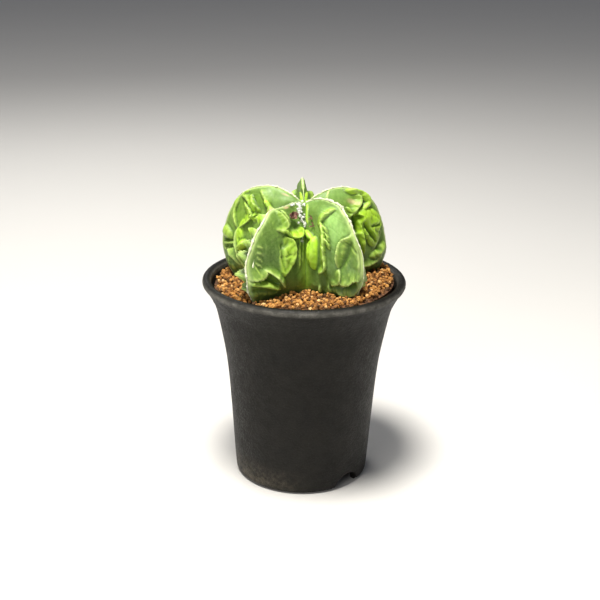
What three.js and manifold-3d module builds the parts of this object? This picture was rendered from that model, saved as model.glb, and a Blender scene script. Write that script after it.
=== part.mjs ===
// Potted fukuryu bishop's cap cactus: a five-ribbed plant with lobed, pleated faces,
// standing in granular soil in a flared pot. Millimetres, +Z up, origin at the centre of the foot.
import * as THREE from 'three';
import { mergeVertices } from 'three/addons/utils/BufferGeometryUtils.js';
import Module from 'manifold-3d';

const wasm = await Module();
wasm.setup();

// Driving dimensions
const fit = 0.3; // gap that touching pieces keep
const pot = {
  wall: 2.0,
  floor: 2.5,
  recess: 5.5, // height of the hollow under the foot
  footRing: 2.4,
  drainRadius: 6,
  smallDrain: { radius: 2.2, circle: 15.5, count: 6 },
  notch: { azimuth: -45.5, width: 14.5, height: 6.8, count: 2 },
  lip: { radius: 45, middle: 43.1, height: 90.8, rise: 1.9, inner: 41.2 },
  segments: 44,
};
const soil = {
  level: 90.7,
  slope: 0.042, // the bed rises towards +X
  relief: 0.5,
  ringStep: 2.1,
  innerRing: 13,
  segments: 64,
};
const plant = {
  level: 89, // height that the plant's outlines are measured from
  offset: -0.5, // the axis stands this far off the pot's centre in X
  nose: 0.95, // half width of a rib's rounded edge
  ripple: 0.5, // height of the broad waves on a face
  undercut: 2.2, // how strongly the swell turns inwards above the soil
  seatGap: 0.45,
};
const wool = { edgeReach: 0.045, valleyReach: 0.05, frontReach: 0.17, thickness: 1.3 };
const felt = { halfWidth: 0.8, thickness: 0.65, from: 0.07, to: 0.9, stations: 12 };

// Outer wall of the pot, radius and height from the foot up
const wallOutline = [
  [28.5, 0.4], [29.6, 1.8], [30.3, 4.5], [32.3, 33], [33.6, 48.5],
  [35.1, 60], [38.7, 78], [41.1, 84.2], [43.4, 88.3],
];

// Edge and valley of a rib from the crown down to the soil, radius and height
const edgeOutline = [
  [1.2, 37.2], [6, 40.2], [12, 42.3], [18, 42.6], [24, 40.9], [29.5, 37],
  [33.8, 31.2], [36.8, 24], [38.5, 16], [38, 9], [35.5, 3.5], [31.4, -2],
];
const valleyOutline = [
  [1.2, 36.6], [3.5, 35.8], [6.3, 33.8], [9, 30.8], [11.3, 27.2], [13.3, 23.4],
  [14.8, 19.4], [15.8, 15.2], [16.3, 11], [16.2, 7], [15.4, 3], [13.8, -2],
];

// Underside and root below the soil: radius at the edge, radius in the valley, height
const rootOutline = [
  [24, 12, -4], [7, 7, -6], [4.6, 4.6, -15], [2, 2, -25],
];

// The ribs: azimuth, reach, how far the shoulder rises and the flank swells, and how far
// the faces puff out between edge and valley
const ribs = [
  { azimuth: -126, reach: 1.04, rise: -4.0, swell: -2.4, puff: 1.6 },
  { azimuth: -46, reach: 0.945, rise: -1.4, swell: -2.2, puff: 1.6 },
  { azimuth: 18, reach: 1.0, rise: 0.3, swell: 1.2, puff: 1.6 },
  { azimuth: 94, reach: 0.99, rise: 1.2, swell: 0, puff: -0.8 },
  { azimuth: 160, reach: 1.0, rise: 0.3, swell: 1.1, puff: 1.6 },
];

// Lobes and pleats of the faces that were seen. A path runs over the face as [s, t], with
// s from 0 at the edge to 1 in the valley and t from 0 at the crown to 1 at the soil.
// w and h are half width and height, lean tips the crown of the fold along s and t,
// and taper narrows the end of the path.
const seenFaces = [
  { rib: 0, side: 1, folds: [
    { path: [[0.45, 0.537], [0.6, 0.579], [0.56, 0.683], [0.51, 0.721]], w: 3.5, h: 2.9, lean: [0.3, 0.1] },
    { path: [[0.32, 0.462], [0.45, 0.45], [0.6, 0.462]], w: 1.7, h: 1.9, lean: [0, 0.2] },
    { path: [[0.53, 0.446], [0.64, 0.438], [0.69, 0.408], [0.72, 0.354]], w: 2.3, h: 2.8, lean: [0.4, 0.2] },
    { path: [[0.04, 0.738], [0.12, 0.729], [0.18, 0.729], [0.19, 0.717]], w: 2.5, h: 2.7, lean: [0.3, 0.6] },
    { path: [[0.26, 0.692], [0.36, 0.704], [0.53, 0.754], [0.62, 0.817]], w: 1.9, h: 2.7, lean: [-0.3, 0.3] },
    { path: [[0.04, 0.787], [0.18, 0.787], [0.31, 0.804], [0.45, 0.833]], w: 1.6, h: 2.3 },
  ] },
  { rib: 1, side: -1, folds: [
    { path: [[0.12, 0.338], [0.27, 0.338], [0.41, 0.35], [0.53, 0.367]], w: 1.9, h: 2.2, lean: [-0.1, 0.3] },
    { path: [[0.52, 0.392], [0.52, 0.442], [0.58, 0.558], [0.62, 0.625]], w: 1.5, h: 2.8, lean: [-0.2, 0] },
    { path: [[0.6, 0.592], [0.63, 0.654], [0.67, 0.717]], w: 1.5, h: 2.7, lean: [-0.2, 0] },
    { path: [[0.92, 0.375], [0.85, 0.425], [0.78, 0.475]], w: 1.4, h: 2.1 },
    { path: [[0.77, 0.492], [0.8, 0.533], [0.82, 0.588], [0.82, 0.662]], w: 2.6, h: 3.2, taper: 0.5 },
    { path: [[0.04, 0.583], [0.15, 0.588], [0.26, 0.633], [0.3, 0.704]], w: 2.4, h: 2.9, lean: [0.2, -0.1] },
    { path: [[0.35, 0.767], [0.27, 0.762], [0.16, 0.742], [0.04, 0.75]], w: 2.8, h: 2.8, lean: [-0.1, 0.7] },
    { path: [[0.41, 0.725], [0.4, 0.758], [0.39, 0.792], [0.49, 0.804]], w: 1.7, h: 2.2, lean: [-0.3, 0.2] },
    { path: [[0.33, 0.858], [0.2, 0.879], [0.06, 0.862]], w: 1.6, h: 2.1, lean: [0, 0.3] },
  ] },
  { rib: 2, side: -1, folds: [
    { path: [[0.13, 0.342], [0.15, 0.371], [0.37, 0.396], [0.5, 0.4]], w: 2, h: 2.4, lean: [-0.1, 0.3] },
    { path: [[0.07, 0.304], [0.04, 0.358], [0.04, 0.412], [0.07, 0.446]], w: 1.8, h: 1.9 },
    { path: [[0.1, 0.45], [0.19, 0.45], [0.31, 0.45]], w: 1.3, h: 2.2 },
    { path: [[0.34, 0.487], [0.26, 0.533], [0.2, 0.588]], w: 4.4, h: 2.6 },
    { path: [[0.35, 0.579], [0.3, 0.617], [0.29, 0.658]], w: 3.5, h: 2.2 },
    { path: [[0.47, 0.45], [0.5, 0.517], [0.52, 0.604], [0.52, 0.704]], w: 1.3, h: 2.4 },
    { path: [[0.37, 0.742], [0.25, 0.733], [0.13, 0.713]], w: 2.2, h: 2.8 },
    { path: [[0.51, 0.796], [0.33, 0.787], [0.2, 0.767]], w: 1.6, h: 2.2, lean: [0, 0.2] },
  ] },
  { rib: 4, side: 1, folds: [
    { path: [[0.16, 0.388], [0.29, 0.404], [0.47, 0.412]], w: 1.7, h: 2.2, lean: [0, -0.2] },
    { path: [[0.11, 0.287], [0.29, 0.283], [0.45, 0.283]], w: 1.8, h: 1.9, lean: [0, 0.2] },
    { path: [[0.39, 0.312], [0.51, 0.312], [0.62, 0.312]], w: 1.1, h: 1.9 },
    { path: [[0.3, 0.575], [0.37, 0.525], [0.31, 0.462], [0.21, 0.462]], w: 1.8, h: 3.2, lean: [0.4, -0.5] },
    { path: [[0.4, 0.579], [0.42, 0.621], [0.46, 0.667]], w: 2.2, h: 2.2, lean: [-0.2, 0.1] },
    { path: [[0.45, 0.696], [0.52, 0.654]], w: 2, h: 2.8 },
    { path: [[0.33, 0.604], [0.36, 0.675], [0.5, 0.783], [0.54, 0.846]], w: 1.2, h: 2.2, lean: [-0.2, 0.1] },
    { path: [[0.06, 0.658], [0.16, 0.675]], w: 2.7, h: 1.8 },
    { path: [[0.18, 0.733], [0.3, 0.758], [0.45, 0.808]], w: 1.6, h: 2.1, lean: [-0.2, 0.3] },
  ] },
  { rib: 0, side: -1, folds: [
    { path: [[0.04, 0.342], [0.13, 0.367], [0.24, 0.362]], w: 1.7, h: 2.6, lean: [0, -0.2] },
    { path: [[0.04, 0.45], [0.15, 0.475], [0.33, 0.462]], w: 1.9, h: 3.9, lean: [0, -0.4] },
    { path: [[0.04, 0.546], [0.16, 0.562], [0.33, 0.537]], w: 1.8, h: 4.8, lean: [0, -0.5] },
    { path: [[0.04, 0.604], [0.15, 0.617], [0.32, 0.592]], w: 1.3, h: 4.8, lean: [0, -0.3] },
    { path: [[0.05, 0.679], [0.17, 0.683], [0.35, 0.658]], w: 1.6, h: 5.6, lean: [-0.1, -0.5] },
    { path: [[0.06, 0.775], [0.18, 0.783], [0.36, 0.758]], w: 2, h: 5.8, lean: [-0.1, -0.5] },
    { path: [[0.05, 0.858], [0.17, 0.862], [0.33, 0.838]], w: 1.7, h: 3.7, lean: [-0.1, -0.3] },
    { path: [[0.43, 0.45], [0.45, 0.6], [0.4, 0.75]], w: 1.7, h: 2.4, lean: [-0.2, 0] },
    { path: [[0.62, 0.4], [0.7, 0.55], [0.68, 0.679]], w: 2.2, h: 2.6, taper: 0.4 },
  ] },
];

// Faces that were out of sight carry the larger folds of a seen face, by its place in the list
// above, moved along the rib and made less tall. The rear rib's shoulders stay plain down to start.
const unseenFaces = [
  { rib: 1, side: 1, like: 0, shift: 0.025, size: 0.9, start: 0 },
  { rib: 2, side: 1, like: 1, shift: -0.02, size: 1.0, start: 0 },
  { rib: 3, side: -1, like: 3, shift: 0.03, size: 0.95, start: 0.46 },
  { rib: 3, side: 1, like: 2, shift: 0.02, size: 1.0, start: 0.46 },
  { rib: 4, side: -1, like: 4, shift: -0.015, size: 0.6, start: 0 },
];
const borrowedArea = 4.1;

// Outlines and small helpers
const radians = THREE.MathUtils.degToRad;
const outlineCurve = (points) => new THREE.SplineCurve(points.map(([x, y]) => new THREE.Vector2(x, y)));
const edgeCurve = outlineCurve(edgeOutline);
const valleyCurve = outlineCurve(valleyOutline);
const swellAt = (t, middle) => Math.exp(-(((t - middle) / 0.16) ** 2));

function scatter(index) {
  const wave = Math.sin(index * 12.9898) * 43758.5453;
  return wave - Math.floor(wave);
}

function wallRadius(height) {
  const above = wallOutline.findIndex(([, z]) => z >= height);
  const [r1, z1] = wallOutline[Math.max(above, 1)];
  const [r0, z0] = wallOutline[Math.max(above, 1) - 1];
  return r0 + ((r1 - r0) * (height - z0)) / (z1 - z0);
}

// A closed solid through rings of points, with a fan at each end
function ringSolid(rings) {
  const count = rings[0].length;
  const centre = (ring) => ring.reduce((sum, p) => sum.add(p), new THREE.Vector3()).divideScalar(count);
  const points = [centre(rings[0]), ...rings.flat(), centre(rings.at(-1))];
  const last = points.length - 1;
  const faces = [];
  for (let i = 0; i < count; i += 1) {
    const next = (i + 1) % count;
    faces.push(0, 1 + next, 1 + i);
    faces.push(last, last - count + i, last - count + next);
    for (let row = 0; row + 1 < rings.length; row += 1) {
      const low = 1 + row * count;
      const high = low + count;
      faces.push(low + i, low + next, high + next);
      faces.push(low + i, high + next, high + i);
    }
  }
  const geometry = new THREE.BufferGeometry().setFromPoints(points);
  geometry.setIndex(faces);
  return geometry;
}

// Joining and cutting
function toSolid(source) {
  const geometry = source.clone();
  geometry.deleteAttribute('normal');
  geometry.deleteAttribute('uv');
  const merged = mergeVertices(geometry, 1e-4);
  const vertProperties = Float32Array.from(merged.attributes.position.array);
  const triVerts = Uint32Array.from(merged.index.array);
  const solid = (faces) => new wasm.Manifold(new wasm.Mesh({ numProp: 3, vertProperties, triVerts: faces }));
  const first = solid(triVerts);
  return first.volume() > 0 ? first : solid(triVerts.toReversed());
}

function toGeometry(solid) {
  const mesh = solid.getMesh();
  const geometry = new THREE.BufferGeometry();
  geometry.setAttribute('position', new THREE.BufferAttribute(mesh.vertProperties, 3));
  geometry.setIndex(new THREE.BufferAttribute(mesh.triVerts, 1));
  geometry.computeVertexNormals();
  return geometry;
}

const joined = (solids) => solids.reduce((whole, piece) => whole.add(piece));

// The largest body of a solid, without loose scraps
function largest(solid) {
  return solid.decompose().reduce((best, piece) => (piece.volume() > best.volume() ? piece : best));
}

// The pot: a wall of even thickness with a rolled lip, on a foot ring with two arched notches
function potSolid() {
  const { lip } = pot;
  const lipArc = (reach, from, to, steps) => Array.from({ length: steps + 1 }, (_, i) => {
    const angle = radians(from + ((to - from) * i) / steps);
    return [lip.middle + reach * Math.cos(angle), lip.height + lip.rise * Math.sin(angle)];
  });
  const innerHeights = [88.3, 84.2, 78, 60, 33, pot.recess + pot.floor];
  const profile = [
    [pot.drainRadius, pot.recess],
    [wallOutline[0][0] - pot.footRing - 0.4, pot.recess],
    [wallOutline[0][0] - pot.footRing, 0],
    [wallOutline[0][0] - 0.3, 0],
    ...wallOutline,
    ...lipArc(lip.radius - lip.middle, -45, 90, 6),
    ...lipArc(lip.middle - lip.inner, 120, 180, 2),
    ...innerHeights.map((z) => [wallRadius(z) - pot.wall - 0.4, z]),
    [pot.drainRadius, pot.recess + pot.floor],
    [pot.drainRadius, pot.recess],
  ];
  const shell = new THREE.LatheGeometry(profile.map(([r, z]) => new THREE.Vector2(r, z)), pot.segments);
  shell.rotateX(Math.PI / 2);
  const notches = Array.from({ length: pot.notch.count }, (_, i) => {
    const arch = new THREE.CylinderGeometry(1, 1, 12, 14);
    arch.scale(pot.notch.width / 2, 1, pot.notch.height);
    arch.translate(0, wallOutline[0][0], 0);
    arch.rotateZ(radians(pot.notch.azimuth - 90) + (2 * Math.PI * i) / pot.notch.count);
    return toSolid(arch);
  });
  const { smallDrain } = pot;
  const drains = Array.from({ length: smallDrain.count }, (_, i) => {
    const hole = new THREE.CylinderGeometry(smallDrain.radius, smallDrain.radius, 12, 8);
    hole.rotateX(Math.PI / 2);
    const angle = (2 * Math.PI * i) / smallDrain.count;
    hole.translate(smallDrain.circle * Math.cos(angle), smallDrain.circle * Math.sin(angle), pot.recess);
    return toSolid(hole);
  });
  return [...notches, ...drains].reduce((whole, cut) => whole.subtract(cut), toSolid(shell));
}

// Azimuths of a face's edge and of its valley, half way to the neighbouring rib
function faceAzimuths({ rib, side }) {
  const own = ribs[rib].azimuth;
  const neighbour = ribs[(rib + side + ribs.length) % ribs.length].azimuth;
  const turn = THREE.MathUtils.euclideanModulo(side * (neighbour - own), 360);
  return [radians(own), radians(own + (side * turn) / 2)];
}

// A point of a rib's face: s runs from the edge to the valley, t from the crown to the soil
function facePoint(face, s, t) {
  const rib = ribs[face.rib];
  const [own, middle] = faceAzimuths(face);
  const edge = edgeCurve.getPoint(t);
  const valley = valleyCurve.getPoint(t);
  const reach = edge.x * rib.reach + rib.swell * swellAt(t, 0.45);
  const height = edge.y + rib.rise * swellAt(t, 0.24);
  const wave = Math.sin(8 * s + 2.3 * face.rib) * Math.sin(14 * t + 1.7 * face.side + face.rib);
  const tuck = 1 - plant.undercut * THREE.MathUtils.smoothstep(t, 0.84, 0.96);
  const swell = rib.puff * tuck * Math.sin(Math.PI * s) + plant.ripple * wave * Math.sin(Math.PI * s) ** 2;
  return sheetPoint(own, middle, face.side, [reach, height], [valley.x, valley.y], s, swell);
}

// A ruled sheet between a point of the edge and one of the valley, swollen sideways
function sheetPoint(own, middle, side, [reach, height], [depth, valleyHeight], s, swell) {
  const edge = new THREE.Vector3(reach * Math.cos(own), reach * Math.sin(own), height);
  const valley = new THREE.Vector3(depth * Math.cos(middle), depth * Math.sin(middle), valleyHeight);
  const width = edge.distanceTo(valley);
  const nose = plant.nose * Math.sqrt(1 - Math.exp((-s * width) / plant.nose)) * (1 - s);
  const bulge = side * (swell * Math.min(width / 20, 1) + nose);
  const sideways = new THREE.Vector3(-Math.sin(own), Math.cos(own), 0).multiplyScalar(bulge);
  const centre = new THREE.Vector3(plant.offset, 0, plant.level);
  return edge.lerp(valley, s).add(sideways).add(centre);
}

// Directions on a face: along s, along t, and out of the plant
function faceFrame(face, s, t) {
  const step = 0.01;
  const along = facePoint(face, s + step, t).sub(facePoint(face, s - step, t)).normalize();
  const down = facePoint(face, s, t + step).sub(facePoint(face, s, t - step)).normalize();
  const out = new THREE.Vector3().crossVectors(down, along).multiplyScalar(face.side).normalize();
  return { along, down, out };
}

// The plain ribbed body: rings of points from the crown down to the tip of the root
function ribbedBody(grow) {
  const steps = [0, 0.04, 0.16, 0.38, 0.62, 0.84, 1];
  const columns = ribs.flatMap((_, rib) => [
    ...steps.slice(0, -1).map((s) => ({ face: { rib, side: 1 }, s })),
    ...steps.slice(1).toReversed().map((s) => ({ face: { rib: (rib + 1) % ribs.length, side: -1 }, s })),
  ]);
  const rows = 17;
  const rings = Array.from({ length: rows + 1 }, (_, row) => {
    const t = (row / rows) ** 0.92;
    return columns.map(({ face, s }) => facePoint(face, s, t));
  });
  for (const [reach, depth, height] of rootOutline) {
    rings.push(columns.map(({ face, s }) => {
      const [own, middle] = faceAzimuths(face);
      const bend = middle * s + own * (1 - s);
      const radius = reach * (1 - s) + depth * s;
      const spoke = new THREE.Vector3(radius * Math.cos(bend), radius * Math.sin(bend), height);
      return spoke.add(new THREE.Vector3(plant.offset, 0, plant.level));
    }));
  }
  return grown(ringSolid(rings), grow);
}

// A solid whose surface is moved outwards
function grown(source, distance) {
  const solid = toSolid(source);
  if (distance === 0) return solid;
  const geometry = toGeometry(solid);
  const { position, normal } = geometry.attributes;
  for (let i = 0; i < position.count; i += 1) {
    const point = new THREE.Vector3().fromBufferAttribute(position, i);
    point.addScaledVector(new THREE.Vector3().fromBufferAttribute(normal, i), distance);
    position.setXYZ(i, point.x, point.y, point.z);
  }
  return toSolid(geometry);
}

// A lobe or pleat: oval rings along its path, shrinking to both ends, rooted in the face
function foldSolid(face, fold, grow) {
  const { path, w, h, lean = [0, 0], taper = 0 } = fold;
  const route = outlineCurve(path);
  const middle = route.getPoint(0.5);
  const { along, down, out } = faceFrame(face, middle.x, middle.y);
  const up = out.clone().addScaledVector(along, lean[0]).addScaledVector(down, lean[1]).normalize();
  const spine = route.getPoints(path.length * 2 - 2).map(({ x, y }) => facePoint(face, x, y));
  const first = spine[0].clone().sub(spine[1]).setLength(w * 0.8);
  const final = spine.at(-1).clone().sub(spine.at(-2)).setLength(w * 0.8);
  spine.unshift(spine[0].clone().add(first));
  spine.push(spine.at(-1).clone().add(final));
  const curve = new THREE.CatmullRomCurve3(spine);
  const sides = w > 3.2 ? 8 : 6;
  const stations = 2 + path.length;
  const rings = Array.from({ length: stations }, (_, i) => {
    const u = (i + 0.3) / (stations - 0.4);
    const size = (1 - Math.abs(2 * u - 1) ** 2.4) ** 0.5 * (1 - taper * u);
    const centre = curve.getPointAt(u);
    const across = curve.getTangentAt(u).cross(up).normalize();
    return Array.from({ length: sides }, (__, k) => {
      const angle = (2 * Math.PI * (k + 0.5)) / sides;
      const rise = Math.sin(angle) > 0 ? h : Math.max(h * 0.5, 1);
      return centre.clone()
        .addScaledVector(across, w * size * Math.cos(angle))
        .addScaledVector(up, rise * size * Math.sin(angle));
    });
  });
  return grown(ringSolid(rings), grow);
}

// The folds that an unseen face takes over
function borrowedFolds({ rib, like, shift, size, start }) {
  const moved = ([s, t]) => [s, t + shift + 0.012 * Math.sin(9 * s + 2 * rib)];
  return seenFaces[like].folds
    .filter(({ w, h }) => w * h > borrowedArea)
    .map((fold) => ({ ...fold, path: fold.path.map(moved), h: fold.h * size }))
    .filter(({ path }) => path.every(([, t]) => t >= start));
}

const allFaces = [
  ...seenFaces,
  ...unseenFaces.map((face) => ({ ...face, folds: borrowedFolds(face) })),
];

// Felt along a rib's edge: a low strip that follows the edge, clear of it by the fit
function feltSolid(rib, grow) {
  const face = { rib, side: 1 };
  const own = radians(ribs[rib].azimuth);
  const sideways = new THREE.Vector3(-Math.sin(own), Math.cos(own), 0);
  const section = [[-1, 0], [1, 0], [0.6, 0.8], [0, 1], [-0.6, 0.8]];
  const rings = Array.from({ length: felt.stations }, (_, i) => {
    const t = felt.from + ((felt.to - felt.from) * i) / (felt.stations - 1);
    const tangent = facePoint(face, 0, t + 0.01).sub(facePoint(face, 0, t - 0.01)).normalize();
    const out = tangent.cross(sideways).normalize();
    return section.map(([x, y]) => facePoint(face, 0, t)
      .addScaledVector(sideways, x * (felt.halfWidth + grow))
      .addScaledVector(out, fit - grow + y * (felt.thickness + 2 * grow)));
  });
  return toSolid(ringSolid(rings));
}

// A round tuft: an oval ball that stands out of a point of a face, away from the plant's heart
function tuftSolid(face, s, t, size, lift, detail = 0) {
  const heart = new THREE.Vector3(plant.offset, 0, plant.level + 20);
  const place = facePoint(face, s, t);
  const out = place.clone().sub(heart).normalize();
  const ball = new THREE.IcosahedronGeometry(size, detail);
  ball.translate(...place.addScaledVector(out, lift).toArray());
  return toSolid(ball);
}

const ribbed = ribbedBody(0);
const folds = joined(allFaces.flatMap((face) => face.folds.map((fold) => foldSolid(face, fold, 0))));
const feltRoom = joined(ribs.map((_, rib) => feltSolid(rib, fit)));
const cactus = largest(folds.subtract(feltRoom).add(ribbed));

// The dried flower beside the crown
const frontFace = { rib: 0, side: 1 };
const bareRoom = joined([
  ribbedBody(fit),
  ...allFaces.flatMap((face) => face.folds
    .filter((fold) => fold.path.some(([, t]) => t < 0.4))
    .map((fold) => foldSolid(face, fold, fit))),
]);
const budPieces = [
  tuftSolid(frontFace, 0.47, 0.255, 1.6, 1.3, 1),
  tuftSolid(frontFace, 0.55, 0.275, 1.5, 1.4),
  tuftSolid(frontFace, 0.5, 0.3, 1.5, 1.3),
];
const bud = largest(joined(budPieces).subtract(bareRoom));

// Wool over the crown: a layer that reaches down the valleys, furthest down the front one
function woolSolid() {
  const columns = ribs.flatMap((_, rib) => [
    ...[0, 0.5].map((s) => ({ face: { rib, side: 1 }, s })),
    ...[1, 0.5].map((s) => ({ face: { rib: (rib + 1) % ribs.length, side: -1 }, s })),
  ]);
  const heart = new THREE.Vector3(plant.offset, 0, plant.level + 25);
  const layer = (part, above) => columns.map(({ face, s }, i) => {
    const front = (face.rib === 0 && face.side === 1) || (face.rib === 1 && face.side === -1);
    const reach = wool.edgeReach + (front ? wool.frontReach : wool.valleyReach) * s ** 2;
    const point = facePoint(face, s, reach * part);
    const bump = 1 + 0.35 * (scatter(i * 7 + part * 31) - 0.5);
    const out = point.clone().sub(heart).normalize();
    return point.addScaledVector(out, 2 * fit + above * bump);
  });
  const parts = [0.15, 0.45, 0.75, 1];
  const under = parts.map((part) => layer(part, 0));
  const over = parts.map((part) => layer(part, wool.thickness * (1.15 - part ** 2)));
  return toSolid(ringSolid([...under, ...over.toReversed()]));
}

// The soil: a bed of granules that fills the pot, with the plant's seat and root hole cut out
function soilSolid() {
  const around = (radius, height) => Array.from({ length: soil.segments }, (_, i) => {
    const angle = (2 * Math.PI * i) / soil.segments;
    return new THREE.Vector3(radius * Math.cos(angle), radius * Math.sin(angle), height);
  });
  const inner = (z) => wallRadius(z) - pot.wall - 0.4 - fit;
  const wallHeights = [33, 60, 78, 84.2];
  const bottom = pot.recess + pot.floor + fit;
  const walls = [bottom, ...wallHeights].map((z) => around(inner(z), z));
  const rings = [around(3, bottom), ...walls];
  const rimRadius = inner(86.5);
  const ringCount = Math.floor((rimRadius - soil.innerRing) / soil.ringStep);
  for (let row = 0; row <= ringCount; row += 1) {
    const radius = rimRadius - row * soil.ringStep;
    rings.push(around(radius, 0).map((point, i) => {
      const bump = row === 0 ? -0.6 : soil.relief * (2 * scatter(row * 97 + i) - 1);
      const shift = row === 0 ? 0 : 0.4 * (scatter(row * 53 + i * 3) - 0.5);
      const scaled = point.multiplyScalar(1 + shift / radius);
      return scaled.setZ(soil.level + soil.slope * scaled.x + bump);
    }));
  }
  rings.push(around(4, soil.level));
  const seat = joined([
    ribbedBody(plant.seatGap),
    ...allFaces.flatMap((face) => face.folds
      .filter((fold) => fold.path.some(([, t]) => t > 0.7))
      .map((fold) => foldSolid(face, fold, plant.seatGap))),
  ]);
  return largest(toSolid(ringSolid(rings)).subtract(seat));
}

// Assembly
const group = new THREE.Group();

function place(name, solid, color, roughness, metalness = 0) {
  const material = new THREE.MeshStandardMaterial({ color, roughness, metalness });
  const mesh = new THREE.Mesh(toGeometry(solid), material);
  mesh.name = name;
  group.add(mesh);
}

place('pot', potSolid(), 0x1d1d1e, 0.75);
place('soil', soilSolid(), 0xb5793f, 0.95);
place('cactus_body', cactus, 0x7fa346, 0.5);
ribs.forEach((_, rib) => place(`areole_felt_rib_${rib + 1}`, feltSolid(rib, 0), 0xd8d4b4, 0.9));
place('crown_wool', woolSolid(), 0xe6e0d2, 0.95);
place('dried_bud', bud, 0x8a6650, 0.9);

export default group;
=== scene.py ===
import math

import bpy
import numpy as np
from mathutils import Matrix, Vector


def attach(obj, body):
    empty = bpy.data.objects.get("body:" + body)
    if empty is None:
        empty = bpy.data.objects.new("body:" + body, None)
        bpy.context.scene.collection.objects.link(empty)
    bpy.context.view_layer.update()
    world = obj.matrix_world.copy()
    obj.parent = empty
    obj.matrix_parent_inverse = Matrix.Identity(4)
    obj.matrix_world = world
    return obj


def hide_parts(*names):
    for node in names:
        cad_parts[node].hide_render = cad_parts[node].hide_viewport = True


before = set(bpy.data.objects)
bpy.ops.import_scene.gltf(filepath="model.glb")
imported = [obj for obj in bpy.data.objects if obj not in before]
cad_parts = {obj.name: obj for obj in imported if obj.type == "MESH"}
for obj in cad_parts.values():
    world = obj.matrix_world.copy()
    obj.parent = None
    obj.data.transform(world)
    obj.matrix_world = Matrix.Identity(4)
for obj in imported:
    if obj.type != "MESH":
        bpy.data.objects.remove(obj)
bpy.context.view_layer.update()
mm = 0.001
print("frame loaded:", len(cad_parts), "nodes")


# Mesh helpers. Shapes are worked out in millimetres and written to the mesh in metres.

def addObject(name, data):
    item = bpy.data.objects.new(name, data)
    bpy.context.scene.collection.objects.link(item)
    return item


def newMesh(name, points, faces):
    mesh = bpy.data.meshes.new(name)
    mesh.from_pydata((np.asarray(points) * mm).tolist(), [], np.asarray(faces).tolist())
    return mesh


# A finished piece: its mesh, with the values that its material reads, riding on the one body
def makePiece(name, points, faces, material, values=None, smooth=True):
    mesh = newMesh(name, points, faces)
    for key, value in (values or {}).items():
        layer = mesh.attributes.new(key, "FLOAT", "POINT")
        layer.data.foreach_set("value", np.ascontiguousarray(value, np.float32))
    mesh.materials.append(material)
    mesh.polygons.foreach_set("use_smooth", np.full(len(faces), smooth))
    mesh.update()
    piece = addObject(name, mesh)
    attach(piece, "root")
    return piece


def roundAngles(count):
    return np.linspace(0, 2 * np.pi, count, endpoint=False)


# Quads between neighbouring rings of a closed grid: row i, column j joins row i + 1, column j + 1
def ringQuads(rows, columns):
    i, j = np.meshgrid(np.arange(rows - 1), np.arange(columns), indexing="ij")
    low = i * columns + j
    nextLow = i * columns + (j + 1) % columns
    return np.stack([low, nextLow, nextLow + columns, low + columns], -1).reshape(-1, 4)


def splitQuads(quads):
    return np.concatenate([quads[:, [0, 1, 2]], quads[:, [0, 2, 3]]])


# A closed tube-like body: rings of points plus one pole at each end, all faces as triangles
def closedRings(rings):
    rows, columns = rings.shape[:2]
    points = np.concatenate([rings.reshape(-1, 3), [rings[0].mean(0), rings[-1].mean(0)]])
    j = np.arange(columns)
    nextJ = (j + 1) % columns
    top, bottom = rows * columns, rows * columns + 1
    last = (rows - 1) * columns
    fans = [np.stack([np.full(columns, top), nextJ, j], -1),
            np.stack([np.full(columns, bottom), last + j, last + nextJ], -1)]
    return points, np.concatenate([splitQuads(ringQuads(rows, columns))] + fans)


# The faces of one shape, counted on for every copy of its points
def repeatFaces(tris, copies, pointsEach):
    return (tris[None] + (np.arange(copies) * pointsEach)[:, None, None]).reshape(-1, 3)


# Turns a closed body's faces outwards: the volume summed over its faces has to be above 0
def faceOutwards(points, tris):
    a, b, c = (points[tris[:, k]] for k in range(3))
    volume = np.einsum("ij,ij->i", a, np.cross(b, c)).sum()
    return tris if volume > 0 else tris[:, ::-1]


# A repeatable draw from 0 to 1 for a whole number
def scatter(index):
    wave = np.sin(np.asarray(index, float) * 12.9898) * 43758.5453
    return wave - np.floor(wave)


# Vectors brought to length 1
def unit(v):
    return v / np.maximum(np.linalg.norm(v, axis=-1, keepdims=True), 1e-12)


# Rises from 0 at low to 1 at high along an S-shaped curve
def softStep(low, high, x):
    u = np.clip((x - low) / (high - low), 0, 1)
    return u * u * (3 - 2 * u)


# Catmull-Rom curve through evenly timed points, held at both ends; t runs from 0 to 1
def curveThrough(points, t):
    p = np.asarray(points, float)
    n = len(p) - 1
    x = np.clip(t, 0, 1) * n
    i = np.minimum(x.astype(int), n - 1)
    f = (x - i)[..., None]
    a, b, c, d = p[np.maximum(i - 1, 0)], p[i], p[i + 1], p[np.minimum(i + 2, n)]
    square, cube = 2 * a - 5 * b + 4 * c - d, 3 * b - a - 3 * c + d
    return 0.5 * (2 * b + (c - a) * f + square * f ** 2 + cube * f ** 3)


# Shader helpers. Nodes are laid out by themselves, in columns from left to right.
nodeLayout = {"first": -1500, "column": 250, "row": 220}


# Gives a socket its value: a link from another node's output, or a plain number or colour
def feed(tree, socket, value):
    if isinstance(value, bpy.types.NodeSocket):
        tree.links.new(value, socket)
    else:
        socket.default_value = value


# A node with its settings and inputs, one column to the right of the nodes that feed it
def addNode(tree, kind, inputs=None, **settings):
    node = tree.nodes.new(kind)
    for key, value in settings.items():
        setattr(node, key, value)
    for key, value in (inputs or {}).items():
        feed(tree, node.inputs[key], value)
    feeders = [link.from_node.location.x for socket in node.inputs for link in socket.links]
    across = max(feeders, default=nodeLayout["first"]) + nodeLayout["column"]
    above = sum(other.location.x == across for other in tree.nodes)
    node.location = (across, -nodeLayout["row"] * above)
    return node


def mixColour(tree, factor, first, second, blend="MIX"):
    return addNode(tree, "ShaderNodeMix", {0: factor, 6: first, 7: second},
                   data_type="RGBA", blend_type=blend).outputs[2]


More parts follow.
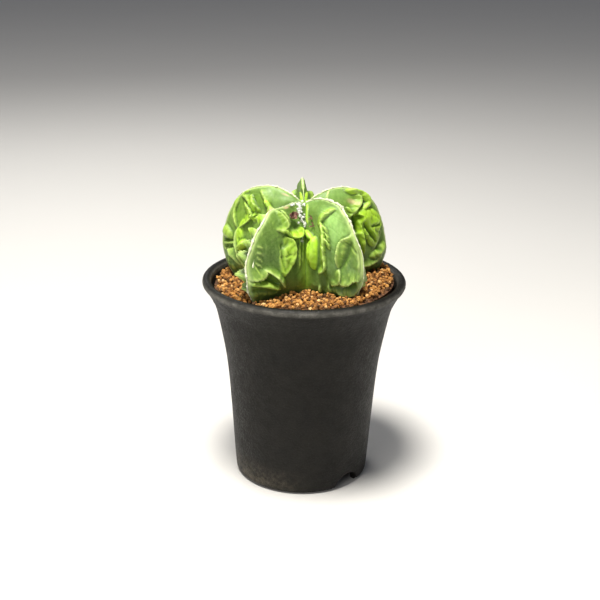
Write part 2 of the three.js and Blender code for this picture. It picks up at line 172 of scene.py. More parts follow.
# Takes values from low to high to values from outLow to outHigh, along an S-shaped curve
def curveValue(tree, source, low, high, outLow=0.0, outHigh=1.0):
    return addNode(tree, "ShaderNodeMapRange", {0: source, 1: low, 2: high, 3: outLow, 4: outHigh},
                   interpolation_type="SMOOTHSTEP").outputs[0]


def mathValue(tree, operation, first, second):
    return addNode(tree, "ShaderNodeMath", {0: first, 1: second}, operation=operation).outputs[0]


def noiseValue(tree, vector, scale, detail, roughness=0.5):
    return addNode(tree, "ShaderNodeTexNoise", {"Vector": vector, "Scale": scale, "Detail": detail,
                                                "Roughness": roughness}).outputs[0]


def attributeValue(tree, name):
    return addNode(tree, "ShaderNodeAttribute", attribute_name=name).outputs["Fac"]


# An empty node group with its sockets, and the outputs of its input node
def newGroup(name, inputs, outputs):
    group = bpy.data.node_groups.new(name, "ShaderNodeTree")
    for label, kind, value in inputs:
        socket = group.interface.new_socket(name=label, in_out="INPUT", socket_type="NodeSocket" + kind)
        if value is not None:
            socket.default_value = value
    for label, kind in outputs:
        group.interface.new_socket(name=label, in_out="OUTPUT", socket_type="NodeSocket" + kind)
    return group, addNode(group, "NodeGroupInput").outputs


# Two tones that drift into each other: noise of the given scale, its contrast set by Spread
def makeMottleGroup():
    group, given = newGroup("mottle", [
        ("Vector", "Vector", None), ("Scale", "Float", 100.0), ("Spread", "Float", 0.2),
        ("Colour A", "Color", (0, 0, 0, 1)), ("Colour B", "Color", (1, 1, 1, 1))],
        [("Color", "Color"), ("Mask", "Float")])
    middle = 0.5
    noise = noiseValue(group, given["Vector"], given["Scale"], detail=4.0, roughness=0.6)
    low = mathValue(group, "SUBTRACT", middle, given["Spread"])
    high = mathValue(group, "ADD", middle, given["Spread"])
    mask = addNode(group, "ShaderNodeMapRange", {0: noise, 1: low, 2: high}).outputs[0]
    colour = mixColour(group, mask, given["Colour A"], given["Colour B"])
    addNode(group, "NodeGroupOutput", {"Color": colour, "Mask": mask})
    return group


# Fine grain: a coarse and a fine noise mixed to one height, and the cell pattern as a mask
def makeGrainGroup():
    group, given = newGroup("grain", [
        ("Vector", "Vector", None), ("Scale", "Float", 2000.0), ("Coarse", "Float", 0.3)],
        [("Height", "Float"), ("Mask", "Float")])
    coarseScale = mathValue(group, "MULTIPLY", given["Scale"], 0.22)
    fine = noiseValue(group, given["Vector"], given["Scale"], detail=2.0, roughness=0.7)
    coarse = noiseValue(group, given["Vector"], coarseScale, detail=3.0)
    height = addNode(group, "ShaderNodeMix", {0: given["Coarse"], 2: fine, 3: coarse}).outputs[0]
    cells = addNode(group, "ShaderNodeTexVoronoi", {"Vector": given["Vector"], "Scale": given["Scale"]})
    addNode(group, "NodeGroupOutput", {"Height": height, "Mask": cells.outputs["Distance"]})
    return group


# Dust: patches from a broad noise, broken up by specks from a fine one. More Amount, more dust.
def makeDustGroup():
    group, given = newGroup("dust", [
        ("Vector", "Vector", None), ("Scale", "Float", 60.0), ("Amount", "Float", 0.5)],
        [("Mask", "Float")])
    noDust, fullDust = 0.62, 0.7
    speckScale = mathValue(group, "MULTIPLY", given["Scale"], 24.0)
    broad = noiseValue(group, given["Vector"], given["Scale"], detail=5.0, roughness=0.65)
    specks = noiseValue(group, given["Vector"], speckScale, detail=2.0)
    both = mathValue(group, "MULTIPLY", broad, specks)
    limit = mathValue(group, "SUBTRACT", noDust, given["Amount"])
    mask = addNode(group, "ShaderNodeMapRange", {0: both, 1: limit, 2: fullDust}).outputs[0]
    addNode(group, "NodeGroupOutput", {"Mask": mask})
    return group


mottleGroup = makeMottleGroup()
grainGroup = makeGrainGroup()
dustGroup = makeDustGroup()


# The groups as a material places them, each with its own values

def mottle(tree, place, scale, spread, first, second):
    values = {"Vector": place, "Scale": scale, "Spread": spread, "Colour A": first, "Colour B": second}
    return addNode(tree, "ShaderNodeGroup", values, node_tree=mottleGroup).outputs["Color"]


def grain(tree, place, scale, coarse):
    values = {"Vector": place, "Scale": scale, "Coarse": coarse}
    return addNode(tree, "ShaderNodeGroup", values, node_tree=grainGroup).outputs


def dust(tree, place, scale, amount):
    values = {"Vector": place, "Scale": scale, "Amount": amount}
    return addNode(tree, "ShaderNodeGroup", values, node_tree=dustGroup).outputs["Mask"]


# A material with the plain values of its shader, and the Object coordinates to work with
def newMaterial(name, plain):
    material = bpy.data.materials.new(name)
    material.use_nodes = True
    tree = material.node_tree
    shader = tree.nodes["Principled BSDF"]
    for key, value in plain.items():
        shader.inputs[key].default_value = value
    return material, tree, shader, addNode(tree, "ShaderNodeTexCoord").outputs["Object"]


def addBump(tree, shader, height, strength, distance):
    bump = addNode(tree, "ShaderNodeBump", {"Height": height, "Strength": strength, "Distance": distance})
    tree.links.new(bump.outputs[0], shader.inputs["Normal"])


# A matt material of two tones, with a grain where its finish has one
def makeMattMaterial(name, finish):
    material, tree, shader, place = newMaterial(name, finish["plain"])
    tree.links.new(mottle(tree, place, *finish["tone"]), shader.inputs["Base Color"])
    if "grain" in finish:
        addBump(tree, shader, grain(tree, place, *finish["grain"])["Height"], *finish["bump"])
    return material


# The pot. In every finish, tone is the scale, spread and two colours of the mottle, grain its scale
# and share of the coarse noise, and bump its strength and depth in metres.
potDesign = {
    # radius and height of the outer wall, from the foot up
    "wall": [(28.5, 0.4), (29.6, 1.8), (30.3, 4.5), (32.3, 33), (33.6, 48.5),
             (35.1, 60), (38.7, 78), (41.1, 84.2), (43.4, 88.3)],
    "thickness": 2.4,
    "floor": 8.0,
    "recess": 5.5,
    "ring": [(25.7, 5.5), (26.1, 0.15), (26.3, 0), (28.1, 0)],  # the foot ring, from inside to outside
    "corner": (0.4, 0.5),  # run and rise of the corner between wall and floor
    "drain": 6.0,
    "smallDrain": (2.2, 15.5, 6),  # radius, circle they stand on, count
    "lip": (43.1, 90.8, 1.9),  # middle radius, height and roundness
    "lipArcs": [(-48, 90, 18), (98, 180, 9)],  # its two arcs: from, to and steps, in degrees
    "notch": (-45.5, 14.5, 6.8, 2),  # azimuth, width, height, count
    "cutLength": 12.0,
    "cutSides": (40, 24),  # sides of a notch and of a small drain
    "columns": 256,
    "wallSteps": 60,
    "floorStep": 3.0,
    "sharpAngle": 38,
}


# Points along straight runs between corners, so that long walls get even rows
def densify(points, step):
    points = np.asarray(points, float)
    parts = []
    for a, b in zip(points[:-1], points[1:]):
        count = max(int(np.ceil(np.linalg.norm(b - a) / step)), 1)
        parts.append(a + (b - a) * (np.arange(count) / count)[:, None])
    return np.concatenate(parts + [points[-1:]])


# The wall's section as (radius, height): under the floor and over the foot ring, up the outer
# wall, over the lip in two arcs, down the inner wall at even thickness and back over the floor
def potProfile(design):
    middle, height, roundness = design["lip"]
    lip = []
    for first, last, steps in design["lipArcs"]:
        angle = np.radians(np.linspace(first, last, steps))
        lip.append(np.stack([middle + roundness * np.cos(angle), height + roundness * np.sin(angle)], -1))
    wall = curveThrough(design["wall"], np.linspace(0, 1, design["wallSteps"]))
    run, rise = design["corner"]
    down = wall[::-1] - [design["thickness"], 0]
    down = down[down[:, 1] > design["floor"] + rise]
    under = [(design["drain"], design["recess"])] + design["ring"]
    floor = [(down[-1, 0] - run, design["floor"]), (design["drain"], design["floor"])]
    step = design["floorStep"]
    return np.concatenate([densify(under, step), wall, *lip, down, densify(floor, step)])


# A profile (radius, height) turned about the axis; the profile closes on itself
def turnProfile(profile, columns):
    angle = roundAngles(columns)
    r, z = profile[:, 0, None], profile[:, 1, None]
    points = np.stack([r * np.cos(angle), r * np.sin(angle), z + 0 * angle], -1).reshape(-1, 3)
    j = np.arange(columns)
    last = (len(profile) - 1) * columns
    seam = np.stack([last + j, last + (j + 1) % columns, (j + 1) % columns, j], -1)
    tris = splitQuads(np.concatenate([ringQuads(len(profile), columns), seam]))
    return points, faceOutwards(points, tris)


def cutAway(piece, cutters):
    for cutter in cutters:
        cut = piece.modifiers.new("cut", "BOOLEAN")
        cut.operation = "DIFFERENCE"
        cut.solver = "MANIFOLD"
        cut.object = cutter
    bpy.context.view_layer.update()
    graph = bpy.context.evaluated_depsgraph_get()
    mesh = bpy.data.meshes.new_from_object(piece.evaluated_get(graph))
    piece.modifiers.clear()
    piece.data = mesh
    for cutter in cutters:
        bpy.data.objects.remove(cutter)


# A cutter: an oval bar along a level direction, or a round one along Z, as a closed ring body
def barCutter(name, centre, direction, length, halfWidth, halfHeight, sides):
    angle = roundAngles(sides)
    along = np.asarray(direction, float)
    across = np.array([-along[1], along[0], 0]) if along[2] == 0 else np.array([1.0, 0, 0])
    up = np.cross(along, across)
    ring = halfWidth * np.cos(angle)[:, None] * across + halfHeight * np.sin(angle)[:, None] * up
    ends = np.array([-0.5, 0.5]) * length
    points, tris = closedRings(np.asarray(centre) + ring[None] + ends[:, None, None] * along)
    return addObject(name, newMesh(name, points, faceOutwards(points, tris)))


potFinish = {
    "plain": {"Roughness": 0.6, "Specular IOR Level": 0.22},
    "tone": (110.0, 0.2, (0.0035, 0.0031, 0.0020, 1), (0.0080, 0.0071, 0.0048, 1)),
    "grain": (1100.0, 0.35),
    "bump": (1.0, 0.0004),
    "roughness": (0.3, 0.7, 0.44, 0.68),  # two heights of the grain and how rough it is there
    "fleck": (0.060, 0.055, 0.043, 1),
    "fleckCells": (0.26, 0.06, 0.0, 0.55),  # two values of the grain's cells, and the flecks there
    "worn": (130.0, 0.40),  # scale and amount of dust for the worn patches
    "wornLeast": 0.30,
    # painted highlight: the pale colour of the light shining off the lip's outer round, and where it lies
    "lipHighlight": (0.330, 0.315, 0.275, 1),
    "lipHighlightBelow": (0.0892, 0.0906),  # heights in metres where it starts and is full, from below
    "lipHighlightAbove": (0.0926, 0.0912),  # and from above
    "lipHighlightBreakup": (260.0, 0.42),
    "lipHighlightLeast": 0.16,
    "dust": (0.380, 0.320, 0.230, 1),
    "dustHeight": (0.016, 0.000),  # metres above the ground where it starts and is full
    "dustSide": (0.008, -0.022),  # and metres to the right
    "dustPatch": (420.0, 0.44),
    "dustStrength": 0.85,
}


def makePotMaterial(finish):
    material, tree, shader, place = newMaterial("potPlastic", finish["plain"])
    pores = grain(tree, place, *finish["grain"])
    axes = addNode(tree, "ShaderNodeSeparateXYZ", {0: place}).outputs
    # pale flecks of the grain, thicker in worn patches
    worn = mathValue(tree, "ADD", dust(tree, place, *finish["worn"]), finish["wornLeast"])
    flecks = mathValue(tree, "MULTIPLY", curveValue(tree, pores["Mask"], *finish["fleckCells"]), worn)
    colour = mixColour(tree, flecks, mottle(tree, place, *finish["tone"]), finish["fleck"])
    # painted highlight: the outermost round of the lip is painted pale for the sheen of the light on it,
    # broken up by a patchy noise
    lip = mathValue(tree, "MULTIPLY", curveValue(tree, axes["Z"], *finish["lipHighlightBelow"]),
                    curveValue(tree, axes["Z"], *finish["lipHighlightAbove"]))
    lipHighlightBreakup = mathValue(tree, "ADD", dust(tree, place, *finish["lipHighlightBreakup"]), finish["lipHighlightLeast"])
    colour = mixColour(tree, mathValue(tree, "MULTIPLY", lip, lipHighlightBreakup), colour, finish["lipHighlight"])
    # pale specks of dust up from the foot on the left
    corner = mathValue(tree, "MULTIPLY", curveValue(tree, axes["Z"], *finish["dustHeight"]),
                       curveValue(tree, axes["X"], *finish["dustSide"]))
    specks = mathValue(tree, "MULTIPLY", corner, dust(tree, place, *finish["dustPatch"]))
    specks = mathValue(tree, "MULTIPLY", specks, finish["dustStrength"])
    colour = mixColour(tree, specks, colour, finish["dust"])
    tree.links.new(colour, shader.inputs["Base Color"])
    rough = curveValue(tree, pores["Height"], *finish["roughness"])
    tree.links.new(rough, shader.inputs["Roughness"])
    addBump(tree, shader, pores["Height"], *finish["bump"])
    return material


def potCutters(design):
    azimuth, width, height, count = design["notch"]
    radius, circle, holes = design["smallDrain"]
    length, (notchSides, drainSides) = design["cutLength"], design["cutSides"]
    cutters = []
    for turn in range(count):
        angle = math.radians(azimuth) + 2 * math.pi * turn / count
        way = (math.cos(angle), math.sin(angle), 0)
        middle = design["wall"][0][0] * np.array(way)
        cutters.append(barCutter("notchCut", middle, way, length, width / 2, height, notchSides))
    for hole in range(holes):
        angle = 2 * math.pi * hole / holes
        middle = (circle * math.cos(angle), circle * math.sin(angle), design["recess"])
        cutters.append(barCutter("drainCut", middle, (0, 0, 1), length, radius, radius, drainSides))
    return cutters


def makePot(design):
    points, tris = turnProfile(potProfile(design), design["columns"])
    piece = makePiece("pot_shell", points, tris, makePotMaterial(potFinish))
    cutAway(piece, potCutters(design))
    piece.data.polygons.foreach_set("use_smooth", np.full(len(piece.data.polygons), True))
    piece.data.set_sharp_from_angle(angle=math.radians(design["sharpAngle"]))
    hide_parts("pot")


makePot(potDesign)
print("pot made")

# The plant: five ribs, each with two ruled faces between its edge and the next valley.
# Every face is a function of s, from the edge to the valley, and t, from the crown to the soil.
plantDesign = {
    "level": 89.0,  # height of the plant's foot
    "offset": -0.5,  # how far to the right it stands
    "nose": 0.95,  # how far the rounded edge stands out to each side
    "ripple": 0.5,  # height of the broad waves
    "undercut": 2.2,  # over 1, the swelling turns inwards above the soil
    "undercutFrom": (0.84, 0.96),
    "wander": 0.45,  # how far the edges sway
    "wanderFrom": (0.1, 0.4),
    "fullPuffWidth": 20,  # a face narrower than this puffs less
    # radius and height over the foot of an edge and of a valley, from the crown to under the soil
    "edge": [(1.2, 37.2), (6, 40.2), (12, 42.3), (18, 42.6), (24, 40.9), (29.5, 37),
             (33.8, 31.2), (36.8, 24), (38.5, 16), (38, 9), (35.5, 3.5), (31.4, -2)],
    "valley": [(1.2, 36.6), (3.5, 35.8), (6.3, 33.8), (9, 30.8), (11.3, 27.2), (13.3, 23.4),
               (14.8, 19.4), (15.8, 15.2), (16.3, 11), (16.2, 7), (15.4, 3), (13.8, -2)],
    "root": [(24, 12, -4), (7, 7, -6), (4.6, 4.6, -15), (2, 2, -25)],  # reach, depth, height
    # azimuth, reach, rise of the shoulder, swell of the flank, puff of the faces
    "ribs": [(-126, 1.04, -4.0, -2.4, 1.6), (-46, 0.945, -1.4, -2.2, 1.6), (18, 1.0, 0.3, 1.2, 1.6),
             (94, 0.99, 1.2, 0, -0.8), (160, 1.0, 0.3, 1.1, 1.6)],
    "shoulder": (0.24, 0.16),  # where along t it is and how long
    "flank": (0.45, 0.16),
    "acrossSteps": 72,
    "downSteps": 130,
    "downPower": 0.9,  # under 1, the rows lie closer towards the soil
}


# The azimuth of a rib and that of the valley half way to its neighbour on one side
def faceAzimuths(design, rib, side):
    ribs = design["ribs"]
    own = ribs[rib][0]
    turn = (side * (ribs[(rib + side) % len(ribs)][0] - own)) % 360
    return math.radians(own), math.radians(own + side * turn / 2)


# A bell-shaped bump along t, 1 at its place
def bell(t, place, length):
    return np.exp(-((t - place) / length) ** 2)


# The plain face: a straight line from edge to valley, swollen sideways by a sine that turns
# inwards above the soil, broad waves and the rounded nose of the edge, which wanders a little
def facePoint(design, rib, side, s, t):
    own, middle = faceAzimuths(design, rib, side)
    _, reach, rise, swell, puff = design["ribs"][rib]
    edge, valley = curveThrough(design["edge"], t), curveThrough(design["valley"], t)
    radius = edge[..., 0] * reach + swell * bell(t, *design["flank"])
    height = edge[..., 1] + rise * bell(t, *design["shoulder"])
    top = np.stack([radius * math.cos(own), radius * math.sin(own), height], -1)
    sway = design["wander"] * (np.sin(19 * t + 2.3 * rib - 1.57) + 0.5 * np.sin(43 * t + 5 * rib))
    ahead = np.array([-math.sin(own), math.cos(own), 0.0])
    top = top + (sway * softStep(*design["wanderFrom"], t))[..., None] * ahead
    low = np.stack([valley[..., 0] * math.cos(middle), valley[..., 0] * math.sin(middle),
                    valley[..., 1]], -1)
    width = np.linalg.norm(low - top, axis=-1)
    wave = np.sin(8 * s + 2.3 * rib) * np.sin(14 * t + 1.7 * side + rib)
    tuck = 1 - design["undercut"] * softStep(*design["undercutFrom"], t)
    bulge = puff * tuck * np.sin(np.pi * s) + design["ripple"] * wave * np.sin(np.pi * s) ** 2
    nose = design["nose"] * np.sqrt(1 - np.exp(-s * width / design["nose"])) * (1 - s)
    swollen = (bulge * np.minimum(width / design["fullPuffWidth"], 1) + nose)[..., None] * (ahead * side)
    return top + (low - top) * s[..., None] + swollen + [design["offset"], 0, design["level"]]


# The directions along s, along t and out of a face, from the differences of near points
def faceFrame(design, rib, side, s, t):
    step = 0.01
    along = unit(facePoint(design, rib, side, s + step, t) - facePoint(design, rib, side, s - step, t))
    down = unit(facePoint(design, rib, side, s, t + step) - facePoint(design, rib, side, s, t - step))
    return along, down, unit(np.cross(down, along)) * side


# Folds of the faces that can be seen from the front. Each runs along a path of (s, t), where a
# point given twice makes a corner. w is its half width in mm, or the half widths on its left and
# right, where the wide side is a slope and the narrow one a cliff. h is its height, under 0 for a
# groove, over carries the crest to the left, flat fills out its shoulders, taper narrows the end,
# tone is how lime it is, and rim how pale its crest: partly a pale margin, partly a painted
# highlight along the crest.
foldDesign = {
    (0, 1): [  # front left rib, right face
        dict(path=[(0.475, 0.504), (0.6, 0.517), (0.65, 0.567), (0.646, 0.625), (0.621, 0.683),
                   (0.571, 0.733)],
             w=(0.7, 6), h=2.7, flat=2.1, over=0.5, tone=0.62, rim=0.1),
        dict(path=[(0.433, 0.55), (0.462, 0.608), (0.504, 0.667), (0.554, 0.717)], w=0.5, h=-0.9),
        dict(path=[(0.462, 0.633), (0.512, 0.625), (0.579, 0.604)], w=0.35, h=-0.6),
        dict(path=[(0.512, 0.533), (0.567, 0.613), (0.625, 0.688)], w=1.6, h=-0.45),
        dict(path=[(0.062, 0.342), (0.237, 0.375), (0.396, 0.429), (0.396, 0.429), (0.338, 0.462),
                   (0.254, 0.483)],
             w=(0.5, 3), h=1.5, over=0.7, tone=0.3, rim=0.5),
        dict(path=[(0.096, 0.3), (0.312, 0.35), (0.496, 0.392)], w=0.7, h=1.1, tone=0.35, rim=0.4),
        dict(path=[(0.333, 0.475), (0.45, 0.467), (0.592, 0.479)],
             w=(2.8, 1), h=1.8, over=-0.3, tone=0.65, rim=0.1),
        dict(path=[(0.554, 0.479), (0.675, 0.467), (0.767, 0.425), (0.817, 0.362)],
             w=(4.4, 0.5), h=2.6, over=-0.8, tone=1, rim=0.15),
        dict(path=[(0.362, 0.229), (0.512, 0.296), (0.613, 0.35)], w=3, h=-1.1),
        dict(path=[(0.054, 0.6), (0.154, 0.604)], w=0.35, h=0.3, tone=0.1, rim=0.3),
        dict(path=[(0.079, 0.629), (0.2, 0.637)], w=0.35, h=0.35, tone=0.1, rim=0.35),
        dict(path=[(0.108, 0.654), (0.2, 0.667)], w=0.35, h=0.35, tone=0.1, rim=0.35),
        dict(path=[(0.113, 0.683), (0.208, 0.696)], w=0.4, h=0.45, tone=0.1, rim=0.35),
        dict(path=[(0.037, 0.767), (0.117, 0.758), (0.2, 0.754), (0.242, 0.738), (0.263, 0.717)],
             w=(6.5, 0.5), h=2.5, over=-1.2, tone=0.1, rim=0.9),
        dict(path=[(0.263, 0.713), (0.338, 0.721), (0.421, 0.742), (0.496, 0.775), (0.579, 0.833)],
             w=(2.6, 0.6), h=2.5, over=-0.8, tone=0.2, rim=0.9),
        dict(path=[(0.113, 0.779), (0.233, 0.775), (0.329, 0.771), (0.425, 0.804)], w=1.5, h=-2.2),
        dict(path=[(0.037, 0.792), (0.175, 0.792), (0.304, 0.808), (0.45, 0.838)],
             w=(2, 1.5), h=2.1, tone=0.4),
        dict(path=[(0.071, 0.838), (0.212, 0.85), (0.412, 0.879)], w=1.1, h=-1.3),
        dict(path=[(0.017, 0.867), (0.067, 0.883)], w=1.6, h=1),
        dict(path=[(0.787, 0.471), (0.829, 0.562), (0.867, 0.688)], w=0.7, h=0.9, tone=0.5),
        dict(path=[(0.904, 0.433), (0.912, 0.537), (0.929, 0.637)], w=0.5, h=0.6, tone=0.4),
    ],
    (1, -1): [  # front right rib, left face
        dict(path=[(0.138, 0.367), (0.271, 0.367), (0.392, 0.375), (0.5, 0.392)],
             w=(0.7, 3.4), h=2, over=0.5, tone=0.5, rim=0.35),
        dict(path=[(0.479, 0.392), (0.479, 0.446), (0.512, 0.5), (0.55, 0.562), (0.592, 0.629)],
             w=(0.9, 2.4), h=2.6, over=0.3, tone=0.8, rim=0.6),
        dict(path=[(0.571, 0.596), (0.592, 0.658), (0.604, 0.704), (0.692, 0.729)],
             w=(0.7, 3), h=2.5, over=0.4, tone=0.45, rim=0.4),
        dict(path=[(0.442, 0.438), (0.412, 0.458), (0.417, 0.487)],
             w=(0.5, 1.7), h=2.6, over=0.6, tone=0.7, rim=0.4),
        dict(path=[(0.467, 0.479), (0.433, 0.508), (0.438, 0.537)],
             w=(0.5, 1.7), h=2.6, over=0.6, tone=0.7, rim=0.4),
        dict(path=[(0.5, 0.521), (0.462, 0.55), (0.458, 0.579)],
             w=(0.5, 1.7), h=2.5, over=0.6, tone=0.6, rim=0.4),
        dict(path=[(0.921, 0.375), (0.846, 0.425), (0.775, 0.475)], w=1.5, h=1.9, tone=0.9),
        dict(path=[(0.75, 0.5), (0.792, 0.542), (0.817, 0.596), (0.817, 0.658)],
             w=3.4, h=3, flat=1.4, taper=0.2, tone=1),
        dict(path=[(0.025, 0.558), (0.104, 0.567), (0.192, 0.567), (0.258, 0.583), (0.329, 0.621),
                   (0.375, 0.654), (0.383, 0.696)],
             w=(4.8, 0.5), h=2.7, over=-0.5, tone=0.35, rim=0.85),
        dict(path=[(0.062, 0.575), (0.146, 0.621), (0.25, 0.667), (0.346, 0.717)], w=1.1, h=-1),
        dict(path=[(0.017, 0.571), (0.029, 0.617), (0.05, 0.667), (0.054, 0.725)],
             w=(0.8, 4.2), h=1, over=0.3, tone=0.1, rim=0.6),
        dict(path=[(0.325, 0.804), (0.225, 0.8), (0.133, 0.775), (0.042, 0.783)],
             w=(5.5, 0.5), h=2.6, over=-1.4, tone=0.15, rim=0.7),
        dict(path=[(0.362, 0.725), (0.346, 0.762), (0.346, 0.808), (0.346, 0.808), (0.458, 0.825)],
             w=(0.5, 3.2), h=2, over=0.8, tone=0.15, rim=0.7),
        dict(path=[(0.45, 0.854), (0.279, 0.838), (0.104, 0.821)], w=1.6, h=-2.4),
        dict(path=[(0.346, 0.875), (0.192, 0.896), (0.037, 0.879)],
             w=(2.8, 0.6), h=1.9, over=-0.6, tone=0.1, rim=0.8),
        dict(path=[(0.692, 0.85), (0.7, 0.904)], w=0.9, h=1.2, rim=0.5),
        dict(path=[(0.517, 0.858), (0.554, 0.921)], w=1.6, h=0.9, rim=0.1),
        dict(path=[(0.625, 0.75), (0.588, 0.871)], w=1.5, h=-1),
        dict(path=[(0.987, 0.446), (0.992, 0.546), (1, 0.65)], w=0.5, h=0.6, tone=0.4),
        dict(path=[(0.529, 0.087), (0.825, 0.212), (0.879, 0.292)], w=0.9, h=0.8, tone=0.7),
    ],
    (2, -1): [  # back right rib, left face
        dict(path=[(0.079, 0.342), (0.125, 0.383), (0.208, 0.404), (0.354, 0.412), (0.487, 0.421)],
             w=(0.9, 3.4), h=2.2, over=0.5, tone=0.3, rim=0.5),
        dict(path=[(0.075, 0.304), (0.037, 0.358), (0.05, 0.408), (0.083, 0.446)],
             w=2.2, h=2.5, tone=0.8),
        dict(path=[(0.096, 0.45), (0.188, 0.45), (0.312, 0.45)], w=1.4, h=2, tone=0.8),
        dict(path=[(0.342, 0.487), (0.263, 0.533), (0.2, 0.588)], w=5.2, h=2.4, flat=1.6, tone=0.85),
        dict(path=[(0.354, 0.579), (0.287, 0.621), (0.283, 0.662)], w=4.2, h=1.8, flat=1.6, tone=0.6),
        dict(path=[(0.304, 0.571), (0.212, 0.588), (0.108, 0.596)], w=0.5, h=-1.4),
        dict(path=[(0.4, 0.517), (0.367, 0.592), (0.267, 0.675)], w=0.7, h=-2.4),
        dict(path=[(0.471, 0.458), (0.537, 0.487), (0.575, 0.537)], w=1.6, h=-3.2),
        dict(path=[(0.458, 0.45), (0.487, 0.517), (0.508, 0.604), (0.512, 0.704)],
             w=(1.2, 1.6), h=2.2, tone=0.9),
        dict(path=[(0.321, 0.758), (0.192, 0.746), (0.096, 0.721)], w=2.4, h=1.6, tone=0.3),
        dict(path=[(0.504, 0.808), (0.312, 0.8), (0.183, 0.779)],
             w=(2.6, 0.9), h=2, over=-0.4, tone=0.15, rim=0.4),
        dict(path=[(0.242, 0.725), (0.192, 0.729)], w=1, h=-1.4),
        dict(path=[(0.096, 0.642), (0.183, 0.675), (0.317, 0.717)], w=0.6, h=0.9, rim=0.9),
        dict(path=[(0.446, 0.367), (0.471, 0.425)], w=1, h=1, tone=0.3),
        dict(path=[(0, 0.163), (0.4, 0.175)], w=0.4, h=0.5, rim=1),
    ],
    (4, 1): [  # back left rib, right face
        dict(path=[(0.171, 0.379), (0.287, 0.392), (0.467, 0.396)],
             w=(0.6, 4.6), h=2.2, over=0.4, tone=0.6, rim=0.1),
        dict(path=[(0.133, 0.304), (0.3, 0.308), (0.454, 0.308)],
             w=(4.2, 0.6), h=1.2, over=-0.2, tone=0.15, rim=0.1),
        dict(path=[(0.388, 0.312), (0.508, 0.312), (0.625, 0.312)], w=1.2, h=1.8, tone=1),
        dict(path=[(0.342, 0.583), (0.417, 0.525), (0.462, 0.462), (0.462, 0.462), (0.342, 0.446),
                   (0.204, 0.442)],
             w=(3.4, 0.5), h=3, over=-1.1, tone=0.85, rim=0.3),
        dict(path=[(0.071, 0.483), (0.117, 0.546), (0.237, 0.592)],
             w=(0.8, 2.6), h=1.5, over=0.3, tone=0.25, rim=0.2),
        dict(path=[(0.046, 0.425), (0.167, 0.412), (0.3, 0.421)],
             w=(2.4, 0.8), h=1.5, over=-0.3, tone=0.35, rim=0.2),
        dict(path=[(0.338, 0.592), (0.367, 0.633), (0.404, 0.675)],
             w=(4.2, 0.6), h=2, over=-0.4, tone=1),
        dict(path=[(0.446, 0.696), (0.521, 0.654)], w=2.2, h=2.6, tone=0.95),
        dict(path=[(0.3, 0.608), (0.333, 0.679), (0.4, 0.721), (0.471, 0.787), (0.512, 0.854)],
             w=(2, 0.5), h=2, over=-0.5, tone=0.2, rim=0.6),
        dict(path=[(0.062, 0.658), (0.163, 0.675)], w=2.9, h=1.7, flat=2, tone=0.4),
        dict(path=[(0.033, 0.717), (0.246, 0.688)], w=0.8, h=-2.2),
        dict(path=[(0.075, 0.729), (0.263, 0.7)], w=0.8, h=0.9, tone=0.2, rim=0.2),
        dict(path=[(0.079, 0.75), (0.275, 0.721)], w=0.6, h=-1.9),
        dict(path=[(0.163, 0.746), (0.279, 0.771), (0.417, 0.825)],
             w=(2.8, 0.6), h=1.9, over=-0.6, tone=0.15, rim=0.7),
        dict(path=[(0, 0.412), (0.017, 0.379)], w=1.5, h=1.5, tone=0.6),
        dict(path=[(0.029, 0.462), (0.042, 0.508)], w=1, h=1.1, tone=0.4),
        dict(path=[(0.146, 0.833), (0.183, 0.892)], w=1.8, h=1),
    ],
    (0, -1): [  # front left rib, left face
        dict(path=[(0.04, 0.33), (0.12, 0.35), (0.22, 0.345)],
             w=(2.6, 1), h=2.4, over=-0.4, tone=0.8, rim=0.2),
        dict(path=[(0.04, 0.43), (0.14, 0.455), (0.3, 0.44)],
             w=(3.6, 0.6), h=3.6, over=-0.7, tone=0.95, rim=0.2),
        dict(path=[(0.05, 0.53), (0.15, 0.545), (0.3, 0.52)],
             w=(3.4, 0.6), h=4.4, over=-0.9, tone=0.9, rim=0.2),
        dict(path=[(0.05, 0.595), (0.15, 0.605), (0.3, 0.58)],
             w=(2.4, 0.5), h=4.4, over=-0.6, tone=0.5, rim=0.3),
        dict(path=[(0.06, 0.665), (0.17, 0.67), (0.34, 0.645)],
             w=(3, 0.5), h=5.2, over=-0.9, tone=0.35, rim=0.4),
        dict(path=[(0.07, 0.755), (0.18, 0.76), (0.34, 0.735)],
             w=(3.8, 0.6), h=5.4, over=-0.9, tone=0.3, rim=0.4),
        dict(path=[(0.07, 0.84), (0.18, 0.845), (0.32, 0.82)],
             w=(3, 0.7), h=3.4, over=-0.6, tone=0.1, rim=0.3),
        dict(path=[(0.4, 0.45), (0.42, 0.6), (0.38, 0.75)], w=(1.2, 2.6), h=2.2, over=0.4, tone=0.4),
        dict(path=[(0.62, 0.4), (0.7, 0.55), (0.68, 0.68)], w=2.4, h=2.4, taper=0.4, tone=0.7),
        dict(path=[(0.5, 0.24), (0.62, 0.33)], w=1.5, h=1.2, tone=0.5),
    ],
}

# Each face that was out of sight carries the folds of a seen one, moved along the rib and waved
# a little. They are turned over where the two faces lie on different sides of their ribs.
unseenFaces = [
    # face, the seen one, how far down, how tall, from which t on
    ((1, 1), (0, 1), 0.025, 0.9, 0),
    ((2, 1), (1, -1), -0.02, 1.0, 0),
    ((3, -1), (4, 1), 0.03, 0.95, 0.46),
    ((3, 1), (2, -1), 0.02, 1.0, 0.46),
    ((4, -1), (0, -1), -0.015, 0.6, 0),
]

# the rear rib shows its pleated tip above the crown and a lump on each shoulder
rearShoulders = {
    (3, 1): dict(path=[(0.24, 0.43), (0.4, 0.4)], w=1.8, h=2.0, tone=0.5),
    (3, -1): dict(path=[(0.4, 0.34), (0.54, 0.35)], w=1.7, h=2.2, tone=0.2),
}
rearTip = [
    dict(path=[(0.55, 0.04), (0.5, 0.1), (0.42, 0.18)], w=0.8, h=0.5, tone=0.8),
    dict(path=[(0.2, 0.0), (0.26, 0.06), (0.28, 0.14)], w=1.3, h=-0.8),
    dict(path=[(0.78, 0.03), (0.84, 0.1), (0.84, 0.22)], w=1.3, h=1.5, tone=0.6),
]


